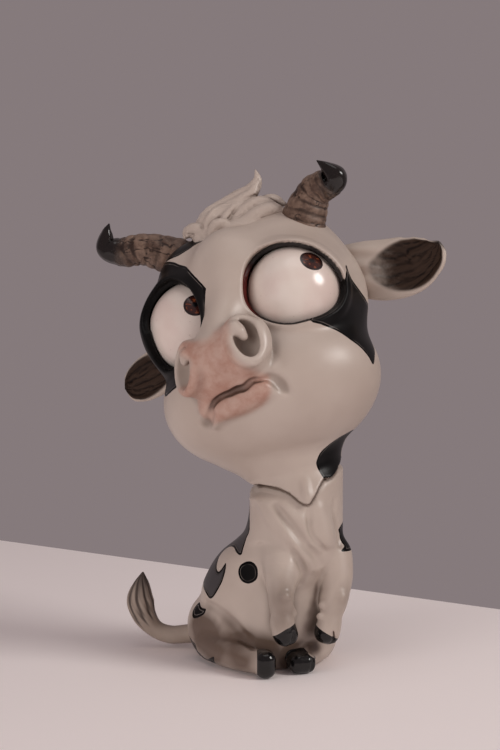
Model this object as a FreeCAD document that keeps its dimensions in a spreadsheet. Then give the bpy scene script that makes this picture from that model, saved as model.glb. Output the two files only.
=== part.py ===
import FreeCAD, Part
import math
import os

# Cow figurine: a hollow cast body that sits on its flat base, and a cast head
# that nods on a coil spring hidden in the neck.  Millimetres, +Z up, origin at
# the centre of the base, the animal faces -Y and its left side is +X.

os.makedirs("parts", exist_ok=True)
doc = FreeCAD.newDocument("CowFigurine")
sheet = doc.addObject("Spreadsheet::Sheet", "Dimensions")
V = FreeCAD.Vector
_row = [1]


def cell(alias, value):
    """One driving dimension: its name in column A, its value in column B."""
    r = _row[0]
    _row[0] += 1
    sheet.set("A%d" % r, alias)
    sheet.set("B%d" % r, "%.4f" % value)
    sheet.setAlias("B%d" % r, alias)
    return alias


def read(alias):
    return float(sheet.get(alias))


def bind(obj, prop, alias):
    obj.setExpression(prop, "Dimensions." + alias)


def turned(axis, angle):
    return FreeCAD.Rotation(V(*axis), angle)


def towards(d):
    """The turn that takes +Z to the direction d."""
    return FreeCAD.Rotation(V(0, 0, 1), V(*d))


# ---------------------------------------------------------------- dimensions
WORDS = ["Zero", "One", "Two", "Three", "Four", "Five", "Six", "Seven", "Eight", "Nine"]

# head pose: the head looks to the animal's right, up, and leans over
for a, v in (("HeadCentreX", -0.2), ("HeadCentreY", 0.1), ("HeadCentreZ", 102.9),
             ("HeadYaw", 25.9), ("HeadPitch", 10.4), ("HeadRoll", 19.1),
             ("ViewTurn", -30.0)):
    cell(a, v)
# neck pivot, ball on the body and bowl in the head
for a, v in (("PivotX", 8.6), ("PivotY", -12.0), ("PivotZ", 48.4),
             ("DomeRadius", 17.2), ("BowlRadius", 17.9), ("FlapRadius", 19.2),
             ("NeckBoreRadius", 8.5), ("LedgeBoreRadius", 6.0),
             ("WallThickness", 3.2)):
    cell(a, v)
# eyes
for a, v in (("EyeX", 17.3), ("EyeY", -9.0), ("EyeZ", 6.0), ("EyeRadius", 14.3),
             ("SocketRadius", 14.6), ("CupRadius", 17.6), ("RimRadius", 15.9),
             ("RimThickness", 1.7), ("EyeTurn", 14.0), ("EyeOpening", 4.2),
             ("EyePegRadius", 2.5), ("EyePegHole", 2.6), ("EyePegLength", 6.0)):
    cell(a, v)
# spring, plug, cup
for a, v in (("SpringWire", 0.8), ("SpringRadius", 5.0), ("SpringPitch", 3.55),
             ("SpringTurns", 14.2), ("SpringSegment", 1.0), ("CupBottom", 28.0), ("CupHeight", 4.0),
             ("CupOuter", 8.4), ("StudRadius", 4.1), ("StudHeight", 4.0),
             ("PlugBottom", 65.6), ("PlugHeight", 6.0)):
    cell(a, v)
# base
for a, v in (("BaseHoleX", 1.5), ("BaseHoleY", 11.0), ("BaseHoleRadius", 8.0),
             ("BasePlugRadius", 7.9), ("BasePlugLip", 9.4), ("FloorThickness", 3.4),
             ("BasePlugRecess", 0.6)):
    cell(a, v)
doc.recompute()

# ------------------------------------------------------------- head's placement
g, t, r_ = (math.radians(read(a)) for a in ("HeadYaw", "HeadPitch", "HeadRoll"))
az = math.radians(read("ViewTurn"))
side = (math.cos(az), math.sin(az), 0.0)
toward = (math.sin(az), -math.cos(az), 0.0)
upward = (0.0, 0.0, 1.0)
cg, sg, ct, st, cr, sr = (math.cos(g), math.sin(g), math.cos(t), math.sin(t),
                          math.cos(r_), math.sin(r_))


def mix(a, b, c):
    return tuple(a * side[i] + b * upward[i] + c * toward[i] for i in range(3))


HX = mix(cr * cg + sr * st * sg, sr * ct, cr * sg - sr * st * cg)      # head's left
HZ = mix(-sr * cg + cr * st * sg, cr * ct, -sr * sg - cr * st * cg)    # head's up
HF = mix(-ct * sg, st, ct * cg)                                        # head's front
HY = tuple(-c for c in HF)                                             # head's back
HEAD = FreeCAD.Placement(FreeCAD.Matrix(
    HX[0], HY[0], HZ[0], read("HeadCentreX"),
    HX[1], HY[1], HZ[1], read("HeadCentreY"),
    HX[2], HY[2], HZ[2], read("HeadCentreZ"),
    0, 0, 0, 1))
PIVOT = V(read("PivotX"), read("PivotY"), read("PivotZ"))


def place(obj, pos, rot=None, head=False):
    p = FreeCAD.Placement(V(*pos), rot or FreeCAD.Rotation())
    obj.Placement = HEAD.multiply(p) if head else p
    return obj


# ------------------------------------------------------------------- helpers
def ellipsoid(name, centre, radii, rot=None, head=False):
    o = doc.addObject("Part::Ellipsoid", name)
    for prop, word, k in (("Radius1", "Z", 2), ("Radius2", "X", 0), ("Radius3", "Y", 1)):
        bind(o, prop, cell(name + "Half" + word, radii[k]))
    return place(o, centre, rot, head)


def ball(name, centre, alias, head=False):
    o = doc.addObject("Part::Sphere", name)
    bind(o, "Radius", alias)
    return place(o, centre, None, head)


def rod(name, foot, direction, radius, height, head=False):
    o = doc.addObject("Part::Cylinder", name)
    bind(o, "Radius", radius)
    bind(o, "Height", height)
    return place(o, foot, towards(direction), head)


def joined(name, parts):
    o = doc.addObject("Part::MultiFuse", name)
    o.Shapes = parts
    return o


def cut(name, base, tool):
    o = doc.addObject("Part::Cut", name)
    o.Base, o.Tool = base, tool
    return o


def common(name, a, b):
    o = doc.addObject("Part::MultiCommon", name)
    o.Shapes = [a, b]
    return o


def loft(name, stations, head=False):
    """Solid through round or oval sections: (centre, direction, wide, narrow, turn)."""
    sections = []
    for i, (c, d, wide, narrow, turn) in enumerate(stations):
        s = doc.addObject("Part::Ellipse", "%sSection%s" % (name, WORDS[i]))
        bind(s, "MajorRadius", cell("%sWide%s" % (name, WORDS[i]), wide))
        bind(s, "MinorRadius", cell("%sNarrow%s" % (name, WORDS[i]), narrow))
        place(s, c, towards(d).multiply(turned((0, 0, 1), turn)), head)
        sections.append(s)
    o = doc.addObject("Part::Loft", name)
    o.Sections = sections
    o.Solid = True
    o.Ruled = False
    return o


def path_stations(pts, radii, flat=1.0, turn=0.0):
    out = []
    for i, p in enumerate(pts):
        a = pts[max(i - 1, 0)]
        b = pts[min(i + 1, len(pts) - 1)]
        d = tuple(b[k] - a[k] for k in range(3))
        out.append((p, d, radii[i], radii[i] * flat * 0.999, turn))
    return out


def world(p):
    q = HEAD.multVec(V(*p))
    return (q.x, q.y, q.z)


# ----------------------------------------------------------------- the head
skull = ellipsoid("Skull", (0, 3.0, 7.0), (35.0, 28.0, 29.5), None, True)
cheeks = ellipsoid("Cheeks", (-0.8, -1.0, -18.5), (35.4, 29.5, 24.0), None, True)
muzzle = ellipsoid("Muzzle", (0, -28.5, -13.5), (15.0, 11.0, 9.0),
                   turned((1, 0, 0), -12), True)
throat_pts = [world((-4, 2, -26)), (3.4, -8.6, 66.0), (5.2, -11.2, 56.5), (5.4, -11.6, 46.0)]
throat = loft("Throat", path_stations(throat_pts, [21.0, 16.6, 14.4, 13.2]))
skin = joined("HeadSkin", [skull, cheeks, muzzle, throat])

hollow_top = ellipsoid("HollowTop", (0, 3.0, 7.0), (31.8, 24.8, 26.3), None, True)
hollow_low = ellipsoid("HollowLow", (-0.8, -1.0, -16.5), (31.8, 25.8, 18.0), None, True)
hollow = joined("HeadHollow", [hollow_top, hollow_low])

# eye cups stand inside the head, and a raised rim runs round each
eye_dir = {}
cups, cavities, mouths, rims, peg_holes, orbits = [], [], [], [], [], []
for word, s in (("Right", -1), ("Left", 1)):
    a = math.radians(read("EyeTurn"))
    d = (s * math.sin(a), -math.cos(a), 0.10)
    n = math.sqrt(sum(c * c for c in d))
    d = tuple(c / n for c in d)
    c = (s * read("EyeX"), read("EyeY"), read("EyeZ"))
    wc = world(c)
    q = HEAD.Rotation.multVec(V(*d))
    wd = (q.x, q.y, q.z)
    eye_dir[word] = (wc, wd)
    cups.append(ball(word + "Cup", wc, "CupRadius"))
    cavities.append(ball(word + "Cavity", wc, "SocketRadius"))
    front = tuple(wc[k] + wd[k] * read("EyeOpening") for k in range(3))
    mouths.append(rod(word + "Mouth", front, wd, "SocketRadius",
                      cell(word + "MouthDepth", 20.0)))
    open_end = rod(word + "OrbitCut", front, wd, cell(word + "OrbitCutRadius", 20.0),
                   cell(word + "OrbitCutDepth", 22.0))
    orbits.append(cut(word + "Orbit", cups[-1], open_end))
    rim = doc.addObject("Part::Torus", word + "Rim")
    bind(rim, "Radius1", cell(word + "RimMajor", read("RimRadius") + 0.9))
    bind(rim, "Radius2", "RimThickness")
    place(rim, tuple(wc[k] + wd[k] * 3.2 for k in range(3)), towards(wd))
    rims.append(rim)
    back = tuple(wc[k] - wd[k] * 20.5 for k in range(3))
    peg_holes.append(rod(word + "PegHole", back, wd, "EyePegHole",
                         cell(word + "PegHoleDepth", 8.0)))
cup_pair = joined("CupPair", cups)
void = cut("HeadVoid", hollow, cup_pair)
skin_rims = joined("HeadSkinWithRims", [skin] + orbits + rims)
with_cups = cut("HeadWithCups", skin_rims, void)

# bowl over the neck's ball, spring passage, eye sockets and peg holes
bowl = ball("Bowl", tuple(PIVOT), "BowlRadius")
passage = rod("SpringPassage", tuple(PIVOT), (0, 0, 1), "NeckBoreRadius",
              cell("PassageHeight", 30.0))

# horn, ear and forelock stations in the head's own frame
horn_pts = {
    "Right": [(-18.5, -1.0, 29.5), (-24.3, -3.0, 34.0), (-31.5, -5.0, 38.2), (-38.6, -6.3, 39.2),
              (-43.0, -7.6, 41.8), (-40.6, -9.2, 46.2), (-39.2, -10.0, 48.4)],
    "Left": [(21.0, -1.5, 25.0), (24.8, -3.2, 31.2), (30.0, -4.6, 36.0), (36.6, -6.0, 36.6),
             (38.6, -7.6, 37.0), (37.0, -9.2, 40.6), (34.9, -10.0, 43.2)]}
horn_radii = {"Right": [7.2, 6.9, 5.7, 4.9, 3.2, 1.4, 0.5],
              "Left": [7.4, 7.1, 5.7, 4.6, 3.2, 1.5, 0.5]}
ear_pts = {
    "Right": [(-27.5, 13.0, 8.5), (-34.0, 13.2, 7.0), (-42.0, 13.4, 3.6), (-49.5, 13.8, 2.0),
              (-55.5, 14.5, 1.2), (-58.4, 15.0, 0.9)],
    "Left": [(27.5, 12.5, 14.0), (34.0, 12.8, 12.0), (41.0, 13.2, 9.6), (48.5, 13.8, 8.4),
             (55.0, 14.6, 7.9), (58.4, 15.0, 7.6)]}
ear_wide = {"Right": [8.0, 7.6, 8.2, 7.6, 4.6, 0.9], "Left": [10.5, 9.8, 9.6, 8.8, 5.4, 1.0]}
ear_thin = [4.2, 3.6, 3.4, 2.8, 1.7, 0.5]

# the socket of each horn and ear: a peg hole through the wall
pegs, peg_tools = {}, []
for word, s in (("Right", -1), ("Left", 1)):
    p0, p1 = horn_pts[word][0], horn_pts[word][1]
    a, b = world(p0), world(p1)
    d = tuple(b[k] - a[k] for k in range(3))
    n = math.sqrt(sum(c * c for c in d))
    d = tuple(c / n for c in d)
    foot = tuple(a[k] - d[k] * 3.0 for k in range(3))
    pegs[word + "Horn"] = rod(word + "HornPeg", foot, d, cell(word + "HornPegRadius", 3.0),
                              cell(word + "HornPegLength", 10.0))
    peg_tools.append(rod(word + "HornHole", tuple(a[k] - d[k] * 3.4 for k in range(3)), d,
                         cell(word + "HornHoleRadius", 3.1), cell(word + "HornHoleDepth", 10.4)))
    a, b = world(ear_pts[word][0]), world(ear_pts[word][1])
    d = tuple(b[k] - a[k] for k in range(3))
    n = math.sqrt(sum(c * c for c in d))
    d = tuple(c / n for c in d)
    foot = tuple(a[k] - d[k] * 1.5 for k in range(3))
    pegs[word + "Ear"] = rod(word + "EarPeg", foot, d, cell(word + "EarPegRadius", 2.5),
                             cell(word + "EarPegLength", 8.0))
    peg_tools.append(rod(word + "EarHole", tuple(a[k] - d[k] * 3 for k in range(3)), d,
                         cell(word + "EarHoleRadius", 2.6), cell(word + "EarHoleDepth", 10.0)))
forelock_peg = rod("ForelockPeg", world((0.5, -2, 31.0)), HZ, cell("ForelockPegRadius", 2.0),
                   cell("ForelockPegLength", 8.0))
peg_tools.append(rod("ForelockHole", world((0.5, -2, 29.5)), HZ, cell("ForelockHoleRadius", 2.1),
                     cell("ForelockHoleDepth", 12.0)))

tools = joined("HeadTools", [bowl, passage] + cavities + mouths + peg_holes + peg_tools)
head_all = cut("HeadCast", with_cups, tools)

# front and back shells part in a plane just behind the middle of the head
def half_box(name, y0, y1):
    o = doc.addObject("Part::Box", name)
    bind(o, "Length", cell(name + "Length", 160.0))
    bind(o, "Width", cell(name + "Width", y1 - y0))
    bind(o, "Height", cell(name + "Height", 160.0))
    return place(o, (-80, y0, -90), None, True)


split_at = 11.0
front_shell = common("head_front_shell", head_all, half_box("FrontHalf", -80.0, split_at))
back_shell = common("head_back_shell", head_all, half_box("BackHalf", split_at, 80.0))

# horns, ears and forelock are trimmed to the head's skin and keyed by pegs
skin_tool = joined("HeadSkinForTrims", [skull, cheeks, muzzle, throat])
trims = {}
for word, s in (("Right", -1), ("Left", 1)):
    pts = [world(p) for p in horn_pts[word]]
    body = loft(word + "HornBody", path_stations(pts, horn_radii[word]))
    trims[word.lower() + "_horn"] = joined(
        word.lower() + "_horn", [cut(word + "HornTrim", body, skin_rims), pegs[word + "Horn"]])
    st_ = []
    pts = [world(p) for p in ear_pts[word]]
    for i, p in enumerate(pts):
        a, b = pts[max(i - 1, 0)], pts[min(i + 1, len(pts) - 1)]
        d = tuple(b[k] - a[k] for k in range(3))
        st_.append((p, d, ear_wide[word][i], ear_thin[i], 0.0))
    ear = doc.addObject("Part::Loft", word + "EarBody")
    secs = []
    for i, (c, d, wide, thin, _) in enumerate(st_):
        e = doc.addObject("Part::Ellipse", "%sEarSection%s" % (word, WORDS[i]))
        bind(e, "MajorRadius", cell("%sEarWide%s" % (word, WORDS[i]), wide))
        bind(e, "MinorRadius", cell("%sEarThin%s" % (word, WORDS[i]), thin))
        # wide way up the head, thin way front to back
        z = V(*d).normalize()
        x = V(*HZ)
        x = (x - z * x.dot(z)).normalize()
        y = z.cross(x)
        e.Placement = FreeCAD.Placement(FreeCAD.Matrix(
            x.x, y.x, z.x, c[0], x.y, y.y, z.y, c[1], x.z, y.z, z.z, c[2], 0, 0, 0, 1))
        secs.append(e)
    ear.Sections = secs
    ear.Solid = True
    trims[word.lower() + "_ear"] = joined(
        word.lower() + "_ear", [cut(word + "EarTrim", ear, skin_tool), pegs[word + "Ear"]])

lock_base = ellipsoid("LockBase", (-1.0, -5.0, 33.5), (17.5, 10.5, 6.0), turned((0, 1, 0), 3), True)
lock_pts = [world(p) for p in [(-6.0, -4.0, 33.0), (-1.0, -3.5, 38.0), (5.0, -3.0, 42.0),
                               (11.0, -3.2, 44.5), (12.0, -3.5, 49.5)]]
lock_curl = loft("LockCurl", path_stations(lock_pts, [8.5, 7.6, 5.6, 3.0, 0.6], 0.8))
lock_trim = cut("LockTrim", joined("LockHair", [lock_base, lock_curl]), skin_tool)
lock_out = cut("LockClear", lock_trim, joined("HornsForLock", [
    trims["right_horn"], trims["left_horn"]]))
forelock = joined("forelock", [lock_out, forelock_peg])

# eyeballs on pegs
eyes = {}
for word in ("Right", "Left"):
    wc, wd = eye_dir[word]
    b = ball(word + "EyeBall", wc, "EyeRadius")
    p = rod(word + "EyePeg", tuple(wc[k] - wd[k] * (read("EyeRadius") + 4.6) for k in range(3)), wd,
            "EyePegRadius", "EyePegLength")
    eyes[word.lower() + "_eyeball"] = joined(word.lower() + "_eyeball", [b, p])

# ------------------------------------------------------------------ the body
torso_levels = [  # height, centre x, centre y, half width, half depth
    (0.0, 1.0, 1.0, 18.2, 26.0), (5.0, 1.0, 2.5, 20.5, 27.2), (13.0, 1.0, 1.0, 20.4, 26.4),
    (23.0, 1.8, -3.6, 18.2, 22.6), (33.0, 3.4, -7.8, 15.8, 18.0), (42.0, 5.4, -10.9, 14.4, 14.8),
    (50.0, 6.0, -11.4, 13.2, 13.4)]


def torso_loft(name, levels, inset):
    secs = []
    for i, (z, x, y, a, b) in enumerate(levels):
        e = doc.addObject("Part::Ellipse", "%sSection%s" % (name, WORDS[i]))
        bind(e, "MajorRadius", cell("%sDeep%s" % (name, WORDS[i]), b - inset))
        bind(e, "MinorRadius", cell("%sWide%s" % (name, WORDS[i]), a - inset))
        place(e, (x, y, z), turned((0, 0, 1), 90))
        secs.append(e)
    o = doc.addObject("Part::Loft", name)
    o.Sections = secs
    o.Solid = True
    o.Ruled = False
    return o


torso = torso_loft("TorsoSkin", torso_levels, 0.0)
wt = read("WallThickness") + 0.4
inner_levels = [(z, x, y, a, b) for (z, x, y, a, b) in torso_levels[1:4]]
inner_levels = [(read("FloorThickness"), 1.0, 2.5, 19.8, 26.4)] + [
    (10.0, 1.0, 2.0, 20.4, 26.6), (18.0, 1.3, -1.0, 19.4, 24.6), (25.0, 2.2, -4.6, 17.4, 21.4)]
torso_hollow = torso_loft("TorsoHollow", inner_levels, wt)

ball_on_neck = ball("NeckBall", tuple(PIVOT), "DomeRadius")
column = loft("NeckColumn", path_stations([(5.2, -11.0, 38.0), (5.8, -11.4, 48.0),
                                           (6.4, -11.8, 58.0), (6.8, -12.0, 68.0)],
                                          [13.8, 13.6, 13.2, 12.6]))
dome = common("NeckDome", ball_on_neck, column)

limbs = [
    # haunches
    ellipsoid("RightHaunch", (-11.2, 9.5, 8.5), (9.5, 15.5, 12.0)),
    ellipsoid("LeftHaunch", (14.0, 3.5, 9.0), (9.5, 15.5, 12.0)),
    # lower hind legs lie forward on the ground
    ellipsoid("RightShank", (-15.4, -5.0, 4.6), (4.6, 18.0, 4.8), turned((0, 0, 1), -3)),
    ellipsoid("LeftShank", (10.0, -15.0, 4.6), (4.4, 14.0, 4.8), turned((0, 0, 1), -48)),
    ellipsoid("RightHindHoof", (-13.6, -23.6, 4.3), (3.6, 4.6, 4.6)),
    ellipsoid("LeftHindHoof", (0.2, -23.8, 3.9), (4.2, 4.8, 4.2)),
    # forelegs hang from the shoulders in front of the chest
    ellipsoid("RightShoulder", (-3.6, -19.0, 31.5), (5.6, 6.2, 9.0), turned((1, 0, 0), -18)),
    ellipsoid("RightForearm", (-6.6, -22.8, 21.8), (4.9, 5.0, 9.0), turned((1, 0, 0), -16)),
    ellipsoid("RightForeHoof", (-6.8, -25.6, 13.0), (4.0, 4.2, 5.0)),
    ellipsoid("LeftShoulder", (12.6, -19.6, 31.5), (5.8, 6.2, 9.0), turned((1, 0, 0), -14)),
    ellipsoid("LeftForearm", (11.2, -23.6, 22.4), (5.4, 5.0, 8.6), turned((1, 0, 0), -12)),
    ellipsoid("LeftForeHoof", (7.4, -26.0, 13.8), (4.2, 4.2, 5.2)),
    ellipsoid("Chest", (4.4, -19.0, 33.5), (10.5, 9.0, 11.0)),
]
cast = joined("BodyCast", [torso, dome] + limbs)
ground = doc.addObject("Part::Box", "Ground")
bind(ground, "Length", cell("GroundLength", 120.0))
bind(ground, "Width", cell("GroundWidth", 120.0))
bind(ground, "Height", cell("GroundHeight", 30.0))
place(ground, (-60, -60, -30))

cup_z = read("CupBottom")
spring_bore = rod("SpringBore", (PIVOT.x, PIVOT.y, cup_z), (0, 0, 1), "NeckBoreRadius",
                  cell("SpringBoreHeight", 60.0))
ledge_bore = rod("LedgeBore", (PIVOT.x, PIVOT.y, cup_z - 8.0), (0, 0, 1), "LedgeBoreRadius",
                 cell("LedgeBoreHeight", 9.0))
base_hole = rod("BaseHole", (read("BaseHoleX"), read("BaseHoleY"), -1.0), (0, 0, 1),
                "BaseHoleRadius", cell("BaseHoleDepth", 6.0))
tail_pts = [(-10.5, 20.5, 5.0), (-15.0, 24.4, 3.9), (-19.2, 27.2, 3.5), (-23.2, 29.6, 5.6),
            (-26.2, 31.2, 10.0), (-27.4, 32.0, 15.0), (-27.0, 31.8, 20.0), (-26.6, 31.5, 24.2)]
tail_radii = [3.0, 2.8, 2.5, 2.7, 3.9, 4.6, 3.0, 0.6]
td = V(*[tail_pts[0][k] - tail_pts[1][k] for k in range(3)]).normalize()
tail_foot = [tail_pts[1][k] + td[k] * 12.0 for k in range(3)]
tail_hole = rod("TailHole", tail_foot, (-td.x, -td.y, -td.z), cell("TailHoleRadius", 2.1),
                cell("TailHoleDepth", 11.0))
body_tools = joined("BodyTools", [ground, torso_hollow, spring_bore, ledge_bore, base_hole,
                                  tail_hole])
body_shell = cut("body_shell", cast, body_tools)

tail_body = loft("TailBody", path_stations(tail_pts, tail_radii))
cast_again = joined("BodyCastForTail", [torso] + limbs)
tail_trim = cut("TailTrim", tail_body, cast_again)
tail_peg = rod("TailPeg", [tail_foot[k] + (-td)[k] * 0.8 for k in range(3)],
               (-td.x, -td.y, -td.z), cell("TailPegRadius", 2.0), cell("TailPegLength", 11.5))
tail = joined("tail", [tail_trim, tail_peg])

# rubber plug in the casting hole
plug_low = rod("BasePlugBody", (read("BaseHoleX"), read("BaseHoleY"), read("BasePlugRecess")),
               (0, 0, 1), "BasePlugRadius", cell("BasePlugHeight", 3.2))
plug_lip = rod("BasePlugFlange", (read("BaseHoleX"), read("BaseHoleY"), read("FloorThickness")),
               (0, 0, 1), "BasePlugLip", cell("BasePlugFlangeHeight", 1.4))
base_plug = joined("base_plug", [plug_low, plug_lip])

# spring seat in the neck, spring, and the plug that carries the head
seat = rod("SeatDisc", (PIVOT.x, PIVOT.y, cup_z), (0, 0, 1), "CupOuter", "CupHeight")
stud = rod("SeatStud", (PIVOT.x, PIVOT.y, cup_z), (0, 0, 1), "StudRadius",
           cell("SeatStudHeight", read("CupHeight") + read("StudHeight")))
neck_spring_cup = joined("neck_spring_cup", [seat, stud])


def coil(name, z):
    h = doc.addObject("Part::Helix", name + "Path")
    bind(h, "Pitch", "SpringPitch")
    bind(h, "Height", "SpringTurns")
    bind(h, "Radius", "SpringRadius")
    bind(h, "SegmentLength", "SpringSegment")
    h.Placement = FreeCAD.Placement(V(PIVOT.x, PIVOT.y, z), FreeCAD.Rotation())
    c = doc.addObject("Part::Circle", name + "Wire")
    bind(c, "Radius", "SpringWire")
    c.Placement = FreeCAD.Placement(V(PIVOT.x + read("SpringRadius"), PIVOT.y, z),
                                    turned((1, 0, 0), 90))
    s = doc.addObject("Part::Sweep", name)
    s.Sections = [c]
    doc.recompute()
    s.Spine = (h, ["Edge%d" % (i + 1) for i in range(len(h.Shape.Edges))])
    s.Solid = True
    s.Frenet = True
    return s


low_z = cup_z + read("CupHeight") + read("SpringWire") + 0.05
spring_low = coil("neck_spring_lower_half", low_z)
high_z = read("PlugBottom") - read("SpringWire") - 0.05 - read("SpringTurns")
spring_high = coil("neck_spring_upper_half", high_z)

plug_disc = rod("HeadPlugDisc", (PIVOT.x, PIVOT.y, read("PlugBottom")), (0, 0, 1),
                cell("HeadPlugRadius", 8.4), "PlugHeight")
plug_stud = rod("HeadPlugStud", (PIVOT.x, PIVOT.y, read("PlugBottom") - read("StudHeight")),
                (0, 0, 1), "StudRadius", cell("HeadPlugStudHeight", 6.0))
head_spring_plug = joined("head_spring_plug", [plug_disc, plug_stud])

# ------------------------------------------------------------ make and write
nodes = {
    "body_shell": body_shell, "tail": tail, "base_plug": base_plug,
    "neck_spring_cup": neck_spring_cup, "neck_spring_lower_half": spring_low,
    "neck_spring_upper_half": spring_high, "head_spring_plug": head_spring_plug,
    "head_front_shell": front_shell, "head_back_shell": back_shell,
    "right_eyeball": eyes["right_eyeball"], "left_eyeball": eyes["left_eyeball"],
    "right_horn": trims["right_horn"], "left_horn": trims["left_horn"],
    "right_ear": trims["right_ear"], "left_ear": trims["left_ear"],
    "forelock": forelock,
}
doc.recompute()
bad = [o.Name for o in doc.Objects if "Invalid" in o.State or "Error" in o.State]
if bad:
    raise RuntimeError("objects failed: %s" % bad)
for name, obj in nodes.items():
    obj.Label = name
    s = obj.Shape
    if s.isNull() or not s.isValid():
        raise RuntimeError("%s has no valid shape" % name)
    solids = s.Solids
    print("%-26s solids %d volume %9.1f  box %s" % (
        name, len(solids), s.Volume, [round(v, 1) for v in (
            s.BoundBox.XMin, s.BoundBox.XMax, s.BoundBox.YMin, s.BoundBox.YMax,
            s.BoundBox.ZMin, s.BoundBox.ZMax)]))
    s.exportStep("parts/%s.step" % name)
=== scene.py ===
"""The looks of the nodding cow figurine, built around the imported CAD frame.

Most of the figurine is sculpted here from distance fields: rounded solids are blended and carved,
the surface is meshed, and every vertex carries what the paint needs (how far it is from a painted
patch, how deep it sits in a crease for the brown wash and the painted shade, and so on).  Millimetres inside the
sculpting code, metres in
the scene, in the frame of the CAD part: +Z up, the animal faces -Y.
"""
import math
import time

import bpy
import numpy as np
from mathutils import Matrix


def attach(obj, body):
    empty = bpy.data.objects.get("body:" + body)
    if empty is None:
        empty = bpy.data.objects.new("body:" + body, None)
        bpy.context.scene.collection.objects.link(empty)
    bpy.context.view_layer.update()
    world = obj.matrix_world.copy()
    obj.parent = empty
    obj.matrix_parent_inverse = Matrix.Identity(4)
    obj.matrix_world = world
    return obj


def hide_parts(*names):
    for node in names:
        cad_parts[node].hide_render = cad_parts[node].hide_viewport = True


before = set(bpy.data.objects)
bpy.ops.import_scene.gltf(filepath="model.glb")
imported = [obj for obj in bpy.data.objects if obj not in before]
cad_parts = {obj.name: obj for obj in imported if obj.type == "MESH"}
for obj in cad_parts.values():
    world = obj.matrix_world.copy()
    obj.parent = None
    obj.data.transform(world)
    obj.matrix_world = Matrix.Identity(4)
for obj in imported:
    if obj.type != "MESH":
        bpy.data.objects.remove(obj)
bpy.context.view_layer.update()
STARTED = time.time()
F4 = np.float32


def A(*v):
    return np.array(v, F4)


def tick(label):
    print("%-24s %6.1f s" % (label, time.time() - STARTED))


# --------------------------------------------------------------- view and poses
AZ = math.radians(-30.0)
RIGHT = np.array([math.cos(AZ), math.sin(AZ), 0.0])
FRONT = np.array([math.sin(AZ), -math.cos(AZ), 0.0])
UP = np.array([0.0, 0.0, 1.0])
TIP = math.radians(4.36)
EYE_POINT = FRONT * 555.0 + RIGHT * -4.0 + UP * 132.0
BACKWARD = FRONT * math.cos(TIP) + UP * math.sin(TIP)
UPWARD = np.cross(BACKWARD, RIGHT)
FOCAL = 1770.0


def sight(px, py):
    """Direction of the line of sight through a point of the 500 x 750 picture."""
    d = RIGHT * (px - 250.0) / FOCAL + UPWARD * (375.0 - py) / FOCAL - BACKWARD
    return d / np.linalg.norm(d)


def head_axes(yaw, pitch, roll):
    g, t, r = (math.radians(a) for a in (yaw, pitch, roll))
    cg, sg, ct, st, cr, sr = (math.cos(g), math.sin(g), math.cos(t), math.sin(t),
                              math.cos(r), math.sin(r))

    def mix(a, b, c):
        return a * RIGHT + b * UP + c * FRONT
    x = mix(cr * cg + sr * st * sg, sr * ct, cr * sg - sr * st * cg)
    z = mix(-sr * cg + cr * st * sg, cr * ct, -sr * sg - cr * st * cg)
    f = mix(-ct * sg, st, ct * cg)
    return np.stack([x, -f, z], 1)


HEAD_M = head_axes(25.9, 10.4, 19.1)
HEAD_C = np.array([-0.2, 0.1, 102.9])
PIVOT = np.array([8.6, -12.0, 48.4])


def to_local(p):
    return ((p - HEAD_C.astype(F4)) @ HEAD_M.astype(F4)).astype(F4)


def to_world(q):
    return (q @ HEAD_M.T.astype(F4) + HEAD_C.astype(F4)).astype(F4)


# ------------------------------------------------------------- distance fields
def length(v):
    return np.sqrt(np.einsum("ij,ij->i", v, v))


def sm(a, b, k):
    """Smooth union."""
    h = np.clip(0.5 + 0.5 * (b - a) / k, 0, 1)
    return b + (a - b) * h - k * h * (1 - h)


def sx(a, b, k):
    """Smooth intersection."""
    return -sm(-a, -b, k)


def step(x, a, b):
    t = np.clip((x - a) / (b - a), 0, 1)
    return t * t * (3 - 2 * t)


def sph(p, c, r):
    return length(p - np.asarray(c, F4)) - r


def turn(axis, deg):
    a = np.asarray(axis, float)
    a = a / np.linalg.norm(a)
    t = math.radians(deg)
    k = np.array([[0, -a[2], a[1]], [a[2], 0, -a[0]], [-a[1], a[0], 0]])
    return np.eye(3) + math.sin(t) * k + (1 - math.cos(t)) * (k @ k)


def ell(p, c, r, rot=None):
    q = p - np.asarray(c, F4)
    if rot is not None:
        q = q @ rot.astype(F4)
    r = np.asarray(r, F4)
    k0 = length(q / r)
    k1 = length(q / (r * r))
    return k0 * (k0 - 1) / np.maximum(k1, 1e-6)


def smooth_path(pts, n):
    """Catmull-Rom curve through the points; extra columns (radii) ride along."""
    p = np.asarray(pts, float)
    m = len(p)
    if m == 2:
        t = np.linspace(0, 1, n)[:, None]
        return p[0] * (1 - t) + p[1] * t
    ext = np.vstack([2 * p[0] - p[1], p, 2 * p[-1] - p[-2]])
    out = []
    for s in np.linspace(0, m - 1, n):
        i = min(int(s), m - 2)
        t = s - i
        a, b, c, d = ext[i], ext[i + 1], ext[i + 2], ext[i + 3]
        out.append(0.5 * (2 * b + (c - a) * t + (2 * a - 5 * b + 4 * c - d) * t * t
                          + (3 * b - a - 3 * c + d) * t ** 3))
    return np.array(out)


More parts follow.
